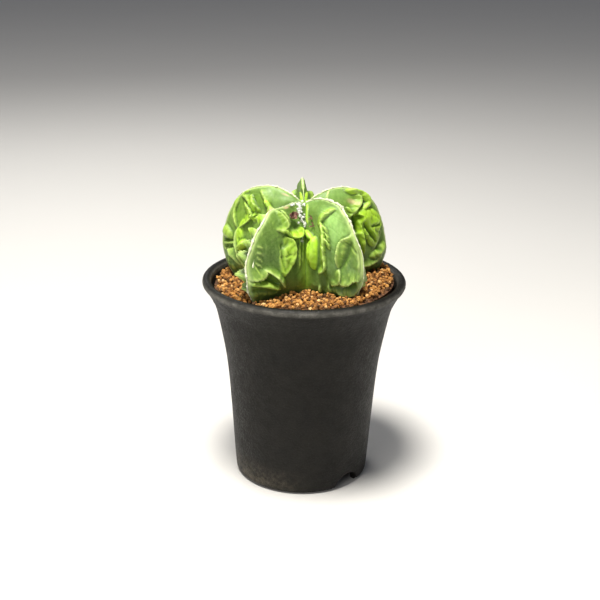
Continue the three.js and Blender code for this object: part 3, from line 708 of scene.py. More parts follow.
def borrowFolds(key, source, shift, size, start):
    folds = []
    for fold in foldDesign[source]:
        path = [(s, t + shift + 0.012 * math.sin(9 * s + 2 * key[0])) for s, t in fold["path"]]
        turned = dict(fold, path=path, h=fold["h"] * size)
        if key[1] != source[1]:
            turned["w"] = fold["w"][::-1] if isinstance(fold["w"], tuple) else fold["w"]
            turned["over"] = -fold.get("over", 0)
        if min(t for _, t in path) >= start:
            folds.append(turned)
    return folds


for key, *borrowed in unseenFaces:
    foldDesign[key] = borrowFolds(key, *borrowed)
for key, shoulder in rearShoulders.items():
    foldDesign[key] += [shoulder] + rearTip


# The nearest place on a fold's spine for every point of a face: how far the point is from it,
# whether it lies to the left, which way is left there, the way from the place to the point, and
# how far along the spine the place is, from 0 to 1
def nearestOnSpine(points, spine, out):
    a, run = spine[:-1], np.diff(spine, axis=0)
    steps = np.linalg.norm(run, axis=1)
    gap = points[:, None] - a
    f = np.clip((gap * run).sum(-1) / np.maximum(steps, 1e-6) ** 2, 0, 1)
    gap = gap - f[..., None] * run
    gap = gap - (gap @ out)[..., None] * out
    distance = np.linalg.norm(gap, axis=-1)
    pick = distance.argmin(1)
    row = np.arange(len(points))
    left = unit(np.cross(out, run))[pick]
    offset = gap[row, pick]
    before = np.concatenate([[0], np.cumsum(steps)[:-1]])
    place = (before[pick] + f[row, pick] * steps[pick]) / steps.sum()
    return distance[row, pick], (offset * left).sum(-1) > 0, left, offset, place


# How every fold is built
foldForm = {
    "spineSteps": 16,
    "onward": 0.8,  # how far the spine goes on past its ends, in half widths,
    "onwardMost": 2.5,  # where a half width counts for this many of the narrow one at most
    "endPower": 2.4,  # higher keeps a fold at full size for longer before it ends
    "waver": 0.05,  # how much its size comes and goes along the spine
    "domeTurn": 106,  # degrees from the crest to the foot of a dome's arc
    "domeFlat": 1.4,
    "slopeFlat": 1.35,
    "bulge": 0.4,  # how far a dome's sides swell out
    "overPower": 1.3,  # higher leans only the crest to the left
    "lopsided": 1.5,  # a wide side over this many of the narrow one makes a slope and a cliff
    "skirt": (2.0, 0.14),  # width and height of a dome's soft foot, in its own
    "toneFrom": (0.05, 0.5),
    "rimWidth": 0.45,
    "rimEnds": 1.6,
    "crestPower": 5,  # how strongly the tallest fold wins where two meet
}


# A fold's spine in space, a little longer at both ends, and the direction out of the face there
def foldSpine(design, key, fold):
    form = foldForm
    route = np.clip(curveThrough(fold["path"], np.linspace(0, 1, form["spineSteps"])), 0.01, 0.99)
    spine = facePoint(design, *key, route[:, 0], route[:, 1])
    middle = np.clip(curveThrough(fold["path"], np.array(0.5)), 0.03, 0.97)
    reach = form["onward"] * min(np.max(fold["w"]), form["onwardMost"] * np.min(fold["w"]))
    spine = np.concatenate([[spine[0] + reach * unit(spine[0] - spine[1])], spine,
                            [spine[-1] + reach * unit(spine[-1] - spine[-2])]])
    return spine, faceFrame(design, *key, *middle)[2], middle


# What one fold adds to a face. q is the distance to its spine over the half width on that side.
# A dome is an arc that goes past its widest part, so that it overhangs its foot; a slope falls
# evenly from the crest; a cliff is a narrow dome; and a groove is a soft dent.
def foldShift(design, key, fold, points):
    form = foldForm
    spine, out, middle = foldSpine(design, key, fold)
    near, onLeft, left, offset, place = nearestOnSpine(points, spine, out)
    ends = np.sqrt(np.clip(1 - np.abs(2 * place - 1) ** form["endPower"], 0, 1))
    size = ends * (1 - fold.get("taper", 0) * place)
    size = np.maximum(size * (1 + form["waver"] * np.sin(7 * place + 40 * middle[1])), 1e-3)
    if fold["h"] < 0:
        dent = np.exp(-(near / fold["w"]) ** 2) * size * fold["h"]
        return dent[:, None] * out, dent, np.zeros_like(near), np.zeros_like(near)
    sides = np.ravel(fold["w"])
    wide, narrow = sides.max(), sides.min()
    width = np.where(onLeft, sides[0], sides[-1]) * size
    q = np.clip(near / width, 0, 1)
    turn = math.radians(form["domeTurn"])
    bend = turn * q ** fold.get("flat", form["domeFlat"])
    rise = (np.cos(bend) - math.cos(turn)) / (1 - math.cos(turn))
    spread = (np.sin(bend) - q * math.sin(turn)) * width * form["bulge"]
    if wide > form["lopsided"] * narrow:
        slope = np.where(onLeft, sides[0] == wide, sides[-1] == wide)
        rise = np.where(slope, (1 - q) ** (form["slopeFlat"] / fold.get("flat", 1)), rise)
        spread = np.where(slope, 0, spread)
    height = rise * size * fold["h"]
    away = offset / np.maximum(near, 1e-6)[:, None]
    over = fold.get("over", 0) * rise ** form["overPower"] * size
    shift = height[:, None] * out + spread[:, None] * away + over[:, None] * left
    if wide < form["lopsided"] * narrow:
        skirtWidth, skirtHeight = form["skirt"]
        skirt = np.clip(1 - near / (skirtWidth * width), 0, 1) ** 2 * skirtHeight * fold["h"] * size
        shift, height = shift + skirt[:, None] * out, height + skirt
    tone = fold.get("tone", 0) * softStep(*form["toneFrom"], rise)
    rim = fold.get("rim", 0) * np.exp(-(near / form["rimWidth"]) ** 2)
    return shift, height, tone, rim * np.minimum(form["rimEnds"] * size, 1)


# Low wrinkles that wander over a face, from a few crossed sines bent by slower ones
def wrinkles(key, s, t):
    x, y = 26 * s + 3 * key[0], 55 * t + 5 * key[1]
    bentX = x + 1.3 * np.sin(0.55 * y + 1.7 * key[0]) + 0.8 * np.sin(0.9 * x + 0.7 * y)
    bentY = y + 1.5 * np.sin(0.6 * x + 2.1) + 0.7 * np.sin(1.1 * y - 0.8 * x)
    return (np.sin(1.5 * bentX + 0.4 * bentY) * np.sin(0.5 * bentY) + 0.5 * np.sin(2.3 * bentY - bentX)
            + 0.35 * np.sin(3.1 * bentX + 1.9 * bentY))


# A crumpled sheet: cells about 5 mm wide and 7 mm tall round scattered middles, each a facet
# tilted its own way that sinks to a crease where it meets the next
def crumple(key, s, t):
    u = 5.2 * s + 0.35 * np.sin(9 * t + 2 * key[0]) + 0.2 * np.sin(21 * t + 4 * s)
    v = 7.5 * t + 0.4 * np.sin(5 * s + key[0] + key[1]) + 0.2 * np.sin(13 * s + 9 * t)
    farAway, creaseWidth, facetLevel, sink = 9.0, 0.28, 0.6, 0.4
    nearest, second, facet = np.full(s.shape, farAway), np.full(s.shape, farAway), np.zeros(s.shape)
    for i, j in ((i, j) for i in (-1, 0, 1) for j in (-1, 0, 1)):
        column, row = np.floor(u) + i, np.floor(v) + j
        seed = 57 * column + 113 * row + 31 * key[0] + 7 * key[1]
        across, along = u - column - scatter(seed + 0.3), v - row - scatter(seed + 0.7)
        distance = np.hypot(across, along)
        tilt = 1.8 * (scatter(seed + 0.1) - 0.5) * across + 1.4 * (scatter(seed + 0.9) - 0.5) * along
        closer = distance < nearest
        second = np.where(closer, nearest, np.minimum(second, distance))
        facet = np.where(closer, tilt, facet)
        nearest = np.where(closer, distance, nearest)
    return (facet + facetLevel) * softStep(0, creaseWidth, second - nearest) - sink


reliefDesign = {
    "wrinkles": (0.055, 0.10),  # height in mm on the plain face, and what a fold adds
    "crumple": (0.10, 0.34),
    "foldHeight": 1.3,  # from this height in mm on, a fold counts in full
    "from": (0.2, 0.4),  # along t, where the relief starts and is full
    "seam": 0.045,  # along s, how soon folds and relief fade at the edge and the valley
    "limeOver": (0.6, 1.6),  # from how many times the tallest so far a fold shares or takes over the colour
}


# A face with its folds and relief. Where folds meet, the mean of their shifts is weighted by a
# power of their heights, so that the tallest wins. Grooves and relief are added to it.
def dressedFace(design, key, s, t):
    relief = reliefDesign
    base = facePoint(design, *key, s, t)
    points = base.reshape(-1, 3)
    total, dents = np.zeros(points.shape), np.zeros(points.shape)
    weights = np.full(len(points), 1e-6)
    lime, rim, tallest = np.zeros(len(points)), np.zeros(len(points)), np.zeros(len(points))
    share, takeOver = relief["limeOver"]
    for fold in foldDesign[key]:
        shift, height, tone, crest = foldShift(design, key, fold, points)
        if fold["h"] < 0:
            dents += shift
            continue
        weight = height ** foldForm["crestPower"]
        total += shift * weight[:, None]
        weights += weight
        shared = np.maximum(tone, lime * (height < takeOver * tallest))
        lime = np.where(height > share * tallest, shared, lime)
        rim = np.maximum(rim, crest)
        tallest = np.maximum(tallest, height)
    out = faceFrame(design, *key, np.clip(s, 0.02, 0.98), np.clip(t, 0.02, 0.98))[2]
    fade = softStep(0.0, relief["seam"], s) * softStep(1.0, 1 - relief["seam"], s)
    cover = softStep(0, relief["foldHeight"], tallest).reshape(s.shape)
    (low, lowMore), (deep, deepMore) = relief["wrinkles"], relief["crumple"]
    rough = (low + lowMore * cover) * wrinkles(key, s, t) + (deep + deepMore * cover) * crumple(key, s, t)
    rough = rough * softStep(*relief["from"], t)
    move = (total / weights[:, None] + dents).reshape(base.shape) + rough[..., None] * out
    return base + move * fade[..., None], lime.reshape(s.shape) * fade, rim.reshape(s.shape), s, t


# The whole plant as one grid: a row goes once round all ten faces, and the last rows, under the
# soil, draw in to the root. Also the masks and the s and t of each point above them.
def plantGrid(design):
    s = np.linspace(0, 1, design["acrossSteps"] + 1)
    t = np.linspace(0, 1, design["downSteps"] + 1) ** design["downPower"]
    parts = []
    for rib in range(len(design["ribs"])):
        following = (rib + 1) % len(design["ribs"])
        for key, line in (((rib, 1), s[:-1]), ((following, -1), s[:0:-1])):
            t2, s2 = np.meshgrid(t, line, indexing="ij")
            points, *masks = dressedFace(design, key, s2, t2)
            own, middle = faceAzimuths(design, *key)
            bend = own + (middle - own) * line
            lower = []
            for reach, depth, z in design["root"]:
                radius = reach * (1 - line) + depth * line
                lower.append(np.stack([radius * np.cos(bend) + design["offset"], radius * np.sin(bend),
                                       np.full(line.shape, z + design["level"])], -1))
            parts.append([np.concatenate([points, np.array(lower)])] + masks)
    return [np.concatenate(part, axis=1) for part in zip(*parts)]


# How hollow the surface is at each point, in mm: how far the mean of four neighbours, a few
# cells away, stands out along the normal. Ridges come out under 0 and creases over 0.
def hollowness(grid, cells):
    rows = np.arange(len(grid))
    above, below = grid[np.maximum(rows - cells, 0)], grid[np.minimum(rows + cells, rows[-1])]
    before, after = np.roll(grid, cells, axis=1), np.roll(grid, -cells, axis=1)
    normal = unit(np.cross(below - above, after - before))
    outwards = np.sign((normal * (grid - grid.mean((0, 1)))).sum(-1).mean())
    return (((above + below + before + after) / 4 - grid) * normal).sum(-1) * outwards


faceSize = (26, 56)  # about how wide and how tall a face is, in mm

# Broad patches of colour on the skin: face, middle (s, t), half sizes in mm across and down,
# what they carry and how strongly. The dark ones are partly darker skin and partly painted
# shadow under the folds.
patchDesign = [
    ((1, -1), (0.27, 0.47), (5.5, 11.0), "glaucous", 1.0),
    ((1, -1), (0.42, 0.66), (4.0, 9.0), "darkAndShadow", 0.35),
    ((1, -1), (0.18, 0.68), (6.0, 8.0), "darkAndShadow", 0.4),
    ((2, -1), (0.30, 0.22), (7.0, 6.0), "glaucous", 0.5),
    ((4, 1), (0.12, 0.36), (6.0, 5.0), "darkAndShadow", 0.25),
    ((4, 1), (0.20, 0.80), (6.0, 6.0), "glaucous", 0.35),
    ((4, 1), (0.22, 0.19), (9.0, 6.0), "glaucous", 0.4),
    ((4, 1), (0.36, 0.46), (8.0, 10.0), "lime", 0.25),
    ((2, -1), (0.34, 0.52), (8.0, 11.0), "lime", 0.35),
    ((1, -1), (0.30, 0.14), (6.0, 5.0), "glaucous", 0.3),
    ((1, -1), (0.33, 0.83), (5.0, 4.0), "glaucous", 0.25),
    ((1, -1), (0.28, 0.845), (8.0, 1.6), "darkAndShadow", 0.7),
    ((0, 1), (0.28, 0.66), (6.0, 8.0), "darkAndShadow", 0.5),
    ((0, 1), (0.30, 0.84), (9.0, 3.0), "darkAndShadow", 0.4),
    ((0, 1), (0.06, 0.22), (1.3, 1.6), "blush", 0.7),
    ((4, 1), (0.20, 0.14), (1.6, 1.6), "blush", 0.6),
    ((2, -1), (0.28, 0.36), (1.4, 1.8), "blush", 0.5),
    ((0, -1), (0.05, 0.385), (1.2, 1.2), "blush", 0.6),
]


# A mask with the patches of one kind, each a flat-topped bell over the distance from its middle
def paintPatches(s, t, faceOf, kind):
    value = np.zeros(s.shape)
    for (rib, side), (s0, t0), (across, down), name, strength in patchDesign:
        if name != kind:
            continue
        far = ((s - s0) * faceSize[0] / across) ** 2 + ((t - t0) * faceSize[1] / down) ** 2
        value = np.maximum(value, strength * np.exp(-far ** 1.5) * (faceOf == rib * 2 + (side > 0)))
    return value


# Where each mask of the skin starts, where it is full, and how strong it gets there
maskDesign = {
    "fineCells": 2,  # how far apart the neighbours are for fine and for broad hollows
    "broadCells": 6,
    # painted highlight: fine and broad ridges and the rib's edge are painted paler, where the light catches
    # them
    "ridgeHighlight": (0.03, 0.22, 0.5),  # fine ridges, mm
    "broadRidge": (0.3, 1.6, 0.15),  # broad ones, mm
    "edgeRidge": (0.08, 0.06),  # width along s and strength at a rib's edge
    "ridgeMost": 0.8,
    "ridgeLime": 0.45,  # how much of it a lime fold takes away
    "ridgeSeam": (0.02, 0.08, 0.1),  # fades from and to these s at the edge, and over this at the valley
    # painted shade in broad hollows
    "hollow": (0.2, 1.3, 0.65),  # mm
    # painted shade in fine creases
    "creaseShade": (0.03, 0.28, 0.65),  # mm
    # painted shade: darker towards the soil, where the lower faces turn from the light and lie under the
    # folds
    "foot": [(0.45, 0.75, 0.15), (0.80, 0.99, 0.4)],  # along t
    "valleyLime": ((0.78, 1.0), (0.3, 0.5), 0.9, 0.35),  # along s, along t, its last t and strength
    # pale crests and the pale rim along the rib's edge: partly a pale margin, partly painted highlight
    "rim": 0.8,
    "edgeRim": (0.03, 0.75, (0.99, 0.93)),  # width along s, strength, and where along t it ends
}


# A mask's strength over a value, from where it starts to where it is full
def rising(value, low, high, strength):
    return softStep(low, high, value) * strength


# All masks of the skin, from how hollow it is, the place on the face and what the folds carry
def skinMasks(design, rings, lime, rim, s, t):
    rows, columns = s.shape
    ribs = len(plantDesign["ribs"])
    face = np.arange(columns) // plantDesign["acrossSteps"]
    faceOf = (2 * ((face + 1) // 2 % ribs) + (face % 2 == 0))[None] + 0 * s
    fine = hollowness(rings, design["fineCells"])[:rows]
    broad = hollowness(rings, design["broadCells"])[:rows]
    (sFrom, sFull), (tFrom, tFull), last, limeStrength = design["valleyLime"]
    valleyLime = limeStrength * softStep(sFrom, sFull, s) * softStep(tFrom, tFull, t) * (t < last)
    # a pale rim along the rib's edge: partly a pale margin, partly painted highlight
    rimWidth, rimStrength, rimEnd = design["edgeRim"]
    edgeRim = rimStrength * np.exp(-(s / rimWidth) ** 2) * softStep(*rimEnd, t)
    ridgeWidth, edgeStrength = design["edgeRidge"]
    edgeStart, edgeFull, valleyFade = design["ridgeSeam"]
    # painted highlight on fine and broad ridges and along the rib's edge
    ridgeHighlight = (rising(-fine, *design["ridgeHighlight"]) + rising(-broad, *design["broadRidge"])
             + edgeStrength * np.exp(-(s / ridgeWidth) ** 2))
    inside = softStep(edgeStart, edgeFull, s) * softStep(1.0, 1 - valleyFade, s)
    masks = {
        "lime": np.clip(lime + valleyLime + paintPatches(s, t, faceOf, "lime"), 0, 1),
        "rim": np.maximum(rim * design["rim"], edgeRim),
        "ridgeHighlight": np.clip(ridgeHighlight, 0, design["ridgeMost"]) * inside * (1 - design["ridgeLime"] * lime),
        "hollow": rising(broad, *design["hollow"]),
        "creaseShade": rising(fine, *design["creaseShade"]),
        "foot": sum(rising(t, *part) for part in design["foot"]),
    }
    for kind in ("glaucous", "darkAndShadow", "blush"):
        masks[kind] = paintPatches(s, t, faceOf, kind)
    underground = np.zeros((len(rings) - rows) * columns + 2)  # the root's rows and both poles
    return {name: np.concatenate([mask.ravel(), underground]) for name, mask in masks.items()}


skinFinish = {
    "plain": {"Roughness": 0.45, "Specular IOR Level": 0.4, "Subsurface Weight": 0.06,
              "Subsurface Radius": (0.5, 1.0, 0.1), "Subsurface Scale": 0.0012},
    "tone": (120.0, 0.22, (0.086, 0.178, 0.022, 1), (0.148, 0.270, 0.040, 1)),
    "lime": (260.0, 0.25, (0.270, 0.530, 0.003, 1), (0.470, 0.740, 0.035, 1)),
    "glaucous": (0.280, 0.500, 0.120, 1),
    # partly darker skin, partly painted shadow under the folds
    "darkAndShadow": (0.050, 0.115, 0.020, 1),
    # painted shade towards the soil
    "foot": (0.075, 0.130, 0.038, 1),
    # painted shade in hollows
    "hollow": (0.090, 0.215, 0.004, 1),
    # painted highlight on ridges
    "ridgeHighlight": (0.500, 0.690, 0.130, 1),
    # painted shade in creases
    "creaseShade": (0.050, 0.115, 0.005, 1),
    # pale crests: partly a pale margin, partly painted highlight
    "rim": (0.600, 0.760, 0.270, 1),
    "blush": (0.720, 0.450, 0.280, 1),
    # the order in which the masks lay their colours over each other
    "layers": ("glaucous", "darkAndShadow", "foot", "lime", "hollow", "ridgeHighlight", "creaseShade", "rim", "blush"),
    # light and dark streaks that run down the faces: how they are stretched, and their mottle
    "stretch": (1.0, 1.0, 0.22),
    "streaks": (520.0, 0.3, (0.70, 0.74, 0.66, 1), (1.28, 1.22, 1.34, 1)),
    "fleck": (0.480, 0.620, 0.200, 1),
    "fleckDust": (900.0, 0.42),
    "fleckStrength": 0.5,
    "grain": (1500.0, 0.6),
    "roughness": (0.3, 0.7, 0.40, 0.56),
    "bump": (0.2, 0.0002),
}


def makeSkinMaterial(finish):
    material, tree, shader, place = newMaterial("cactusSkin", finish["plain"])
    colour = mottle(tree, place, *finish["tone"])
    tints = dict(finish, lime=mottle(tree, place, *finish["lime"]))
    for name in finish["layers"]:
        colour = mixColour(tree, attributeValue(tree, name), colour, tints[name])
    stretched = addNode(tree, "ShaderNodeMapping", {"Vector": place, "Scale": finish["stretch"]})
    streaks = mottle(tree, stretched.outputs[0], *finish["streaks"])
    colour = mixColour(tree, 1.0, colour, streaks, "MULTIPLY")
    flecks = mathValue(tree, "MULTIPLY", dust(tree, place, *finish["fleckDust"]), finish["fleckStrength"])
    colour = mixColour(tree, flecks, colour, finish["fleck"])
    tree.links.new(colour, shader.inputs["Base Color"])
    pores = grain(tree, place, *finish["grain"])["Height"]
    tree.links.new(curveValue(tree, pores, *finish["roughness"]), shader.inputs["Roughness"])
    addBump(tree, shader, pores, *finish["bump"])
    return material


def makePlant(design):
    rings, lime, rim, s, t = plantGrid(design)
    points, tris = closedRings(rings)
    masks = skinMasks(maskDesign, rings, lime, rim, s, t)
    skin = makeSkinMaterial(skinFinish)
    piece = makePiece("cactus_skin", points, faceOutwards(points, tris), skin, masks)
    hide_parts("cactus_body")
    return rings


plantRings = makePlant(plantDesign)
print("plant made:", plantRings.shape[0], "rows by", plantRings.shape[1], "columns")

# The soil: the bed's own body as the underlayer, coloured dark as painted shade in the gaps between
# granules, and loose granules on it
soilDesign = {
    "level": 90.7,  # height of the bed in its middle
    "slope": 0.042,  # rise per mm to the right
    "rim": 39.9,  # radius that the granules stay inside
    "seed": 7,
    # spacing, height over the bed, least and greatest half size
    "layers": [(1.7, -0.85, 0.75, 1.10), (1.95, 0.35, 0.70, 1.08), (3.2, 1.15, 0.60, 0.95)],
    # azimuth, spread in degrees and height of the banks against the wall, from the middle out
    "banks": [(8, 40, 1.3), (-100, 60, 0.5)],
    "bankPower": 4,  # higher keeps a bank closer to the wall
    "scatter": 0.42,  # how far a granule strays, in spacings
    "plantGap": 0.35,  # how far granules keep from the plant, in half sizes
    "footprint": (0.4, 1.3),  # height over the level where the plant is measured, and how far round it
    "sides": 6,
    "rings": [(0.62, -0.72, 0.0), (1.0, -0.12, 0.4), (0.72, 0.62, 0.9)],  # radius, height, turn
    "poles": (-0.95, 0.92),
    "stretch": (0.75, 1.2),
    "wobble": 0.2,
    "lift": 0.3,  # how far a granule lies higher or lower than its layer
    # painted shade: a granule is lighter the higher its layer lies, so the lower layers are darker in the
    # gaps
    "tone": (0.24, 0.25, 0.3),  # its mean and spread, and what a mm of height adds
    "darkOnes": (0.08, 0.5),  # the share of dark granules and how much darker they are
}


# The plant's outline at the soil: the widest point in each degree of azimuth
def plantFootprint(design, rings):
    above, reach = design["footprint"]
    flat = rings.reshape(-1, 3)
    near = flat[np.abs(flat[:, 2] - design["level"] - above) < reach]
    angle = np.degrees(np.arctan2(near[:, 1], near[:, 0])) % 360
    outline = np.zeros(360)
    np.maximum.at(outline, angle.astype(int) % 360, np.hypot(near[:, 0], near[:, 1]))
    return np.maximum(outline, np.maximum(np.roll(outline, 1), np.roll(outline, -1)))


# Jittered triangular lattice over the bed, outside the plant and inside the wall
def scatterBed(rng, design, outline, spacing, halfSize):
    rowHeight = 0.866  # of a row in a triangular lattice, in spacings
    count = int(2 * design["rim"] / spacing) + 2
    rows = count * 1.16  # more rows than columns, since they lie closer
    i, j = np.meshgrid(np.arange(count), np.arange(int(rows)), indexing="ij")
    x = (i + 0.5 * (j % 2) - count / 2) * spacing
    y = (j - rows / 2) * spacing * rowHeight
    spots = np.stack([x.ravel(), y.ravel()], -1)
    spots = spots + rng.uniform(-design["scatter"], design["scatter"], spots.shape) * spacing
    radius = np.hypot(spots[:, 0], spots[:, 1])
    angle = np.degrees(np.arctan2(spots[:, 1], spots[:, 0])).astype(int) % 360
    keep = (radius < design["rim"] - halfSize) & (radius > outline[angle] + design["plantGap"] * halfSize)
    return spots[keep]


# One granule of half size 1: three rings of six points and two poles
def granuleShape(design):
    angle = roundAngles(design["sides"])
    rings = [np.stack([np.cos(angle + turn) * r, np.sin(angle + turn) * r, np.full(len(angle), z)], -1)
             for r, z, turn in design["rings"]]
    points, tris = closedRings(np.array(rings))
    points[-2, 2], points[-1, 2] = design["poles"]
    return points, faceOutwards(points, tris)


# Turns in space, drawn evenly: a random quaternion of length 1, written out as a matrix
def randomTurns(rng, count):
    w, x, y, z = unit(rng.normal(size=(count, 4))).T
    return np.stack([
        np.stack([1 - 2 * (y * y + z * z), 2 * (x * y - z * w), 2 * (x * z + y * w)], -1),
        np.stack([2 * (x * y + z * w), 1 - 2 * (x * x + z * z), 2 * (y * z - x * w)], -1),
        np.stack([2 * (x * z - y * w), 2 * (y * z + x * w), 1 - 2 * (x * x + y * y)], -1)], 1)


# The bed's height under each spot: a plane that slopes, with banks that rise to the wall
def bedHeight(design, spots):
    bed = design["level"] + design["slope"] * spots[:, 0]
    outwards = np.clip(np.hypot(spots[:, 0], spots[:, 1]) / design["rim"], 0, 1) ** design["bankPower"]
    azimuth = np.degrees(np.arctan2(spots[:, 1], spots[:, 0]))
    for middle, spread, height in design["banks"]:
        away = (azimuth - middle + 180) % 360 - 180
        bed = bed + height * outwards * np.exp(-(away / spread) ** 2)
    return bed


granuleFinish = {
    "plain": {"Roughness": 0.9, "Specular IOR Level": 0.25},
    # place on the ramp from dark to pale, and the colour there
    "tones": [(0.0, (0.09, 0.040, 0.014, 1)), (0.25, (0.30, 0.125, 0.030, 1)),
              (0.55, (0.52, 0.250, 0.060, 1)), (0.8, (0.68, 0.37, 0.110, 1)),
              (1.0, (0.85, 0.55, 0.24, 1))],
    "patches": (900.0, 0.3, (0.62, 0.58, 0.52, 1), (1.25, 1.2, 1.12, 1)),
    "dust": (0.72, 0.50, 0.30, 1),
    "dustPatch": (500.0, 0.42),
    "dustStrength": 0.35,
    "grain": (3800.0, 0.5),
    "bump": (0.6, 0.00018),
}


def makeGranuleMaterial(finish):
    material, tree, shader, place = newMaterial("soilGranules", finish["plain"])
    ramp = addNode(tree, "ShaderNodeValToRGB", {0: attributeValue(tree, "tone")})
    stops = ramp.color_ramp.elements
    first, *between, last = finish["tones"]
    stops[0].position, stops[0].color = first
    stops[1].position, stops[1].color = last
    for position, colour in between:
        stops.new(position).color = colour
    patches = mottle(tree, place, *finish["patches"])
    colour = mixColour(tree, 1.0, ramp.outputs["Color"], patches, "MULTIPLY")
    dusty = mathValue(tree, "MULTIPLY", dust(tree, place, *finish["dustPatch"]), finish["dustStrength"])
    colour = mixColour(tree, dusty, colour, finish["dust"])
    tree.links.new(colour, shader.inputs["Base Color"])
    addBump(tree, shader, grain(tree, place, *finish["grain"])["Height"], *finish["bump"])
    return material


# Every granule is the same shape, stretched, pushed about and turned at random
def makeGranules(design, rings):
    rng = np.random.default_rng(design["seed"])
    outline = plantFootprint(design, rings)
    shape, shapeTris = granuleShape(design)
    mean, spread, shadePerMm = design["tone"]
    darkShare, darker = design["darkOnes"]
    clouds, tones = [], []
    for spacing, above, least, most in design["layers"]:
        spots = scatterBed(rng, design, outline, spacing, most)
        count = len(spots)
        half = rng.uniform(least, most, count)
        stretch = rng.uniform(*design["stretch"], (count, 1, 3))
        wobble = 1 + rng.uniform(-design["wobble"], design["wobble"], (count, len(shape), 1))
        local = shape[None] * stretch * wobble * half[:, None, None]
        local = np.einsum("nij,nkj->nki", randomTurns(rng, count), local)
        z = bedHeight(design, spots) + above + rng.uniform(-design["lift"], design["lift"], count)
        clouds.append(local + np.concatenate([spots, z[:, None]], -1)[:, None])
        # painted shade: lower layers darker, higher ones lighter
        tones.append(np.clip(rng.normal(mean, spread, count) + shadePerMm * above
                             - darker * (rng.random(count) < darkShare), 0, 1))
    cloud = np.concatenate(clouds)
    tone = np.repeat(np.concatenate(tones), len(shape))
    tris = repeatFaces(shapeTris, len(cloud), len(shape))
    material = makeGranuleMaterial(granuleFinish)
    piece = makePiece("soil_granules", cloud.reshape(-1, 3), tris, material, {"tone": tone}, smooth=False)
    return len(cloud)


# painted shade: the bed is coloured dark for the shade in the gaps between the granules
bedShadeFinish = {
    "plain": {"Roughness": 0.95},
    "tone": (600.0, 0.15, (0.035, 0.014, 0.006, 1), (0.20, 0.085, 0.03, 1)),
    "grain": (1400.0, 0.5),
    "bump": (1.0, 0.0006),
}

granuleCount = makeGranules(soilDesign, plantRings)
shadedSoilBed = bpy.data.objects["soil"]
shadedSoilBed.data.materials.clear()
shadedSoilBed.data.materials.append(makeMattMaterial("shadedSoilBed", bedShadeFinish))
print("soil made:", granuleCount, "granules")

# Felt along the ribs' edges, wool in the crown and the dried flower
feltDesign = {
    "width": 0.55, "thickness": 0.36, "lift": 0.05, "start": 0.03, "end": 0.95,
    "rows": 460, "sides": 10,
    # how full the felt of each rib is, at even steps from the crown to the soil
    "fullness": [
        (0.7, 0.5, 0.15, 1.2, 1.3, 1.2, 0.7), (1.0, 1.4, 1.7, 1.3, 0.5, 0.4, 0.3),
        (0.8, 1.1, 0.7, 0.45, 0.5, 0.4, 0.1), (0.1, 0.25, 0.5, 0.2, 0.3, 0.3, 0.1),
        (1.0, 1.2, 0.8, 0.4, 0.4, 0.3, 0.1),
    ],
    # a second line beside the front left edge: place across the face, start, end and fullness
    "beside": (0.075, 0.665, 0.755, 0.8),
    "ends": (0.02, 0.04),  # along t, how soon a line is full at its start and at its end
    "areoles": (0.62, 0.38),  # size between two areoles, and what an areole adds
    "narrowing": (1.2, 0.4),  # size at the crown and how much it loses down to the soil
    "roughness": 0.2,
    "least": 0.08,
    "stand": 0.5,  # how far the section's middle stands over the skin, in its half heights
}

feltFinish = {
    "plain": {"Roughness": 0.95, "Specular IOR Level": 0.1, "Sheen Weight": 0.3},
    "tone": (700.0, 0.2, (0.62, 0.66, 0.36, 1), (0.92, 0.91, 0.72, 1)),
    "grain": (5000.0, 0.3),
    "bump": (1.0, 0.00025),
}


# A felt line: an oval section carried along a line of a rib's face, its width and height swelling
# at each areole and with the felt's fullness
def feltLine(design, plant, rib, across, start, end, full):
    rows, sides = int(design["rows"] * (end - start)), design["sides"]
    t = np.linspace(start, end, rows)
    line = facePoint(plant, rib, 1, np.full(rows, across), t)
    tangent = unit(np.gradient(line, axis=0))
    own = math.radians(plant["ribs"][rib][0])
    if across > 0:
        out = faceFrame(plant, rib, 1, np.full(rows, across), t)[2]
        side = np.cross(out, tangent)
    else:
        side = np.array([-math.sin(own), math.cos(own), 0]) + np.zeros((rows, 3))
        out = unit(np.cross(tangent, side))
    row = np.arange(rows)
    areole = 0.5 + 0.5 * np.cos(row * 0.42 + 0.8 * np.sin(row * 0.11 + rib))
    (between, atAreole), (atCrown, lost) = design["areoles"], design["narrowing"]
    startFade, endFade = design["ends"]
    ends = softStep(0, startFade, t - start) * softStep(0, endFade, end - t)
    patchy = 0.75 + 0.35 * np.sin(31 * t + 2 * rib) * np.sin(83 * t + rib)
    rough = design["roughness"] * (scatter(row + 1000 * rib) - 0.5)
    size = (between + atAreole * areole + rough) * (atCrown - lost * t) * patchy * full * ends
    size = np.maximum(size, design["least"])
    angle = roundAngles(sides)
    fuzz = 1 + design["roughness"] * (scatter(row[:, None] * 31 + np.arange(sides)) - 0.5)
    width = (design["width"] * size)[:, None] * np.cos(angle) * fuzz
    height = (design["thickness"] * size)[:, None] * (design["stand"] + np.sin(angle)) * fuzz
    lift = design["lift"] + height
    return closedRings(line[:, None] + width[..., None] * side[:, None] + lift[..., None] * out[:, None])


def makeFelt(design, plant, rib, material):
    start, end = design["start"], design["end"]
    t = np.linspace(start, end, int(design["rows"] * (end - start)))
    full = curveThrough([(f,) for f in design["fullness"][rib]], t)[:, 0]
    points, tris = feltLine(design, plant, rib, 0, start, end, full)
    tris = faceOutwards(points, tris)
    if rib == 0:
        more, moreTris = feltLine(design, plant, rib, *design["beside"])
        tris = np.concatenate([tris, faceOutwards(more, moreTris) + len(points)])
        points = np.concatenate([points, more])
    piece = makePiece("areole_felt_%d" % (rib + 1), points, tris, material)
    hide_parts("areole_felt_rib_%d" % (rib + 1))


feltMaterial = makeMattMaterial("areoleFelt", feltFinish)
for rib in range(len(plantDesign["ribs"])):
    makeFelt(feltDesign, plantDesign, rib, feltMaterial)
print("felt made")

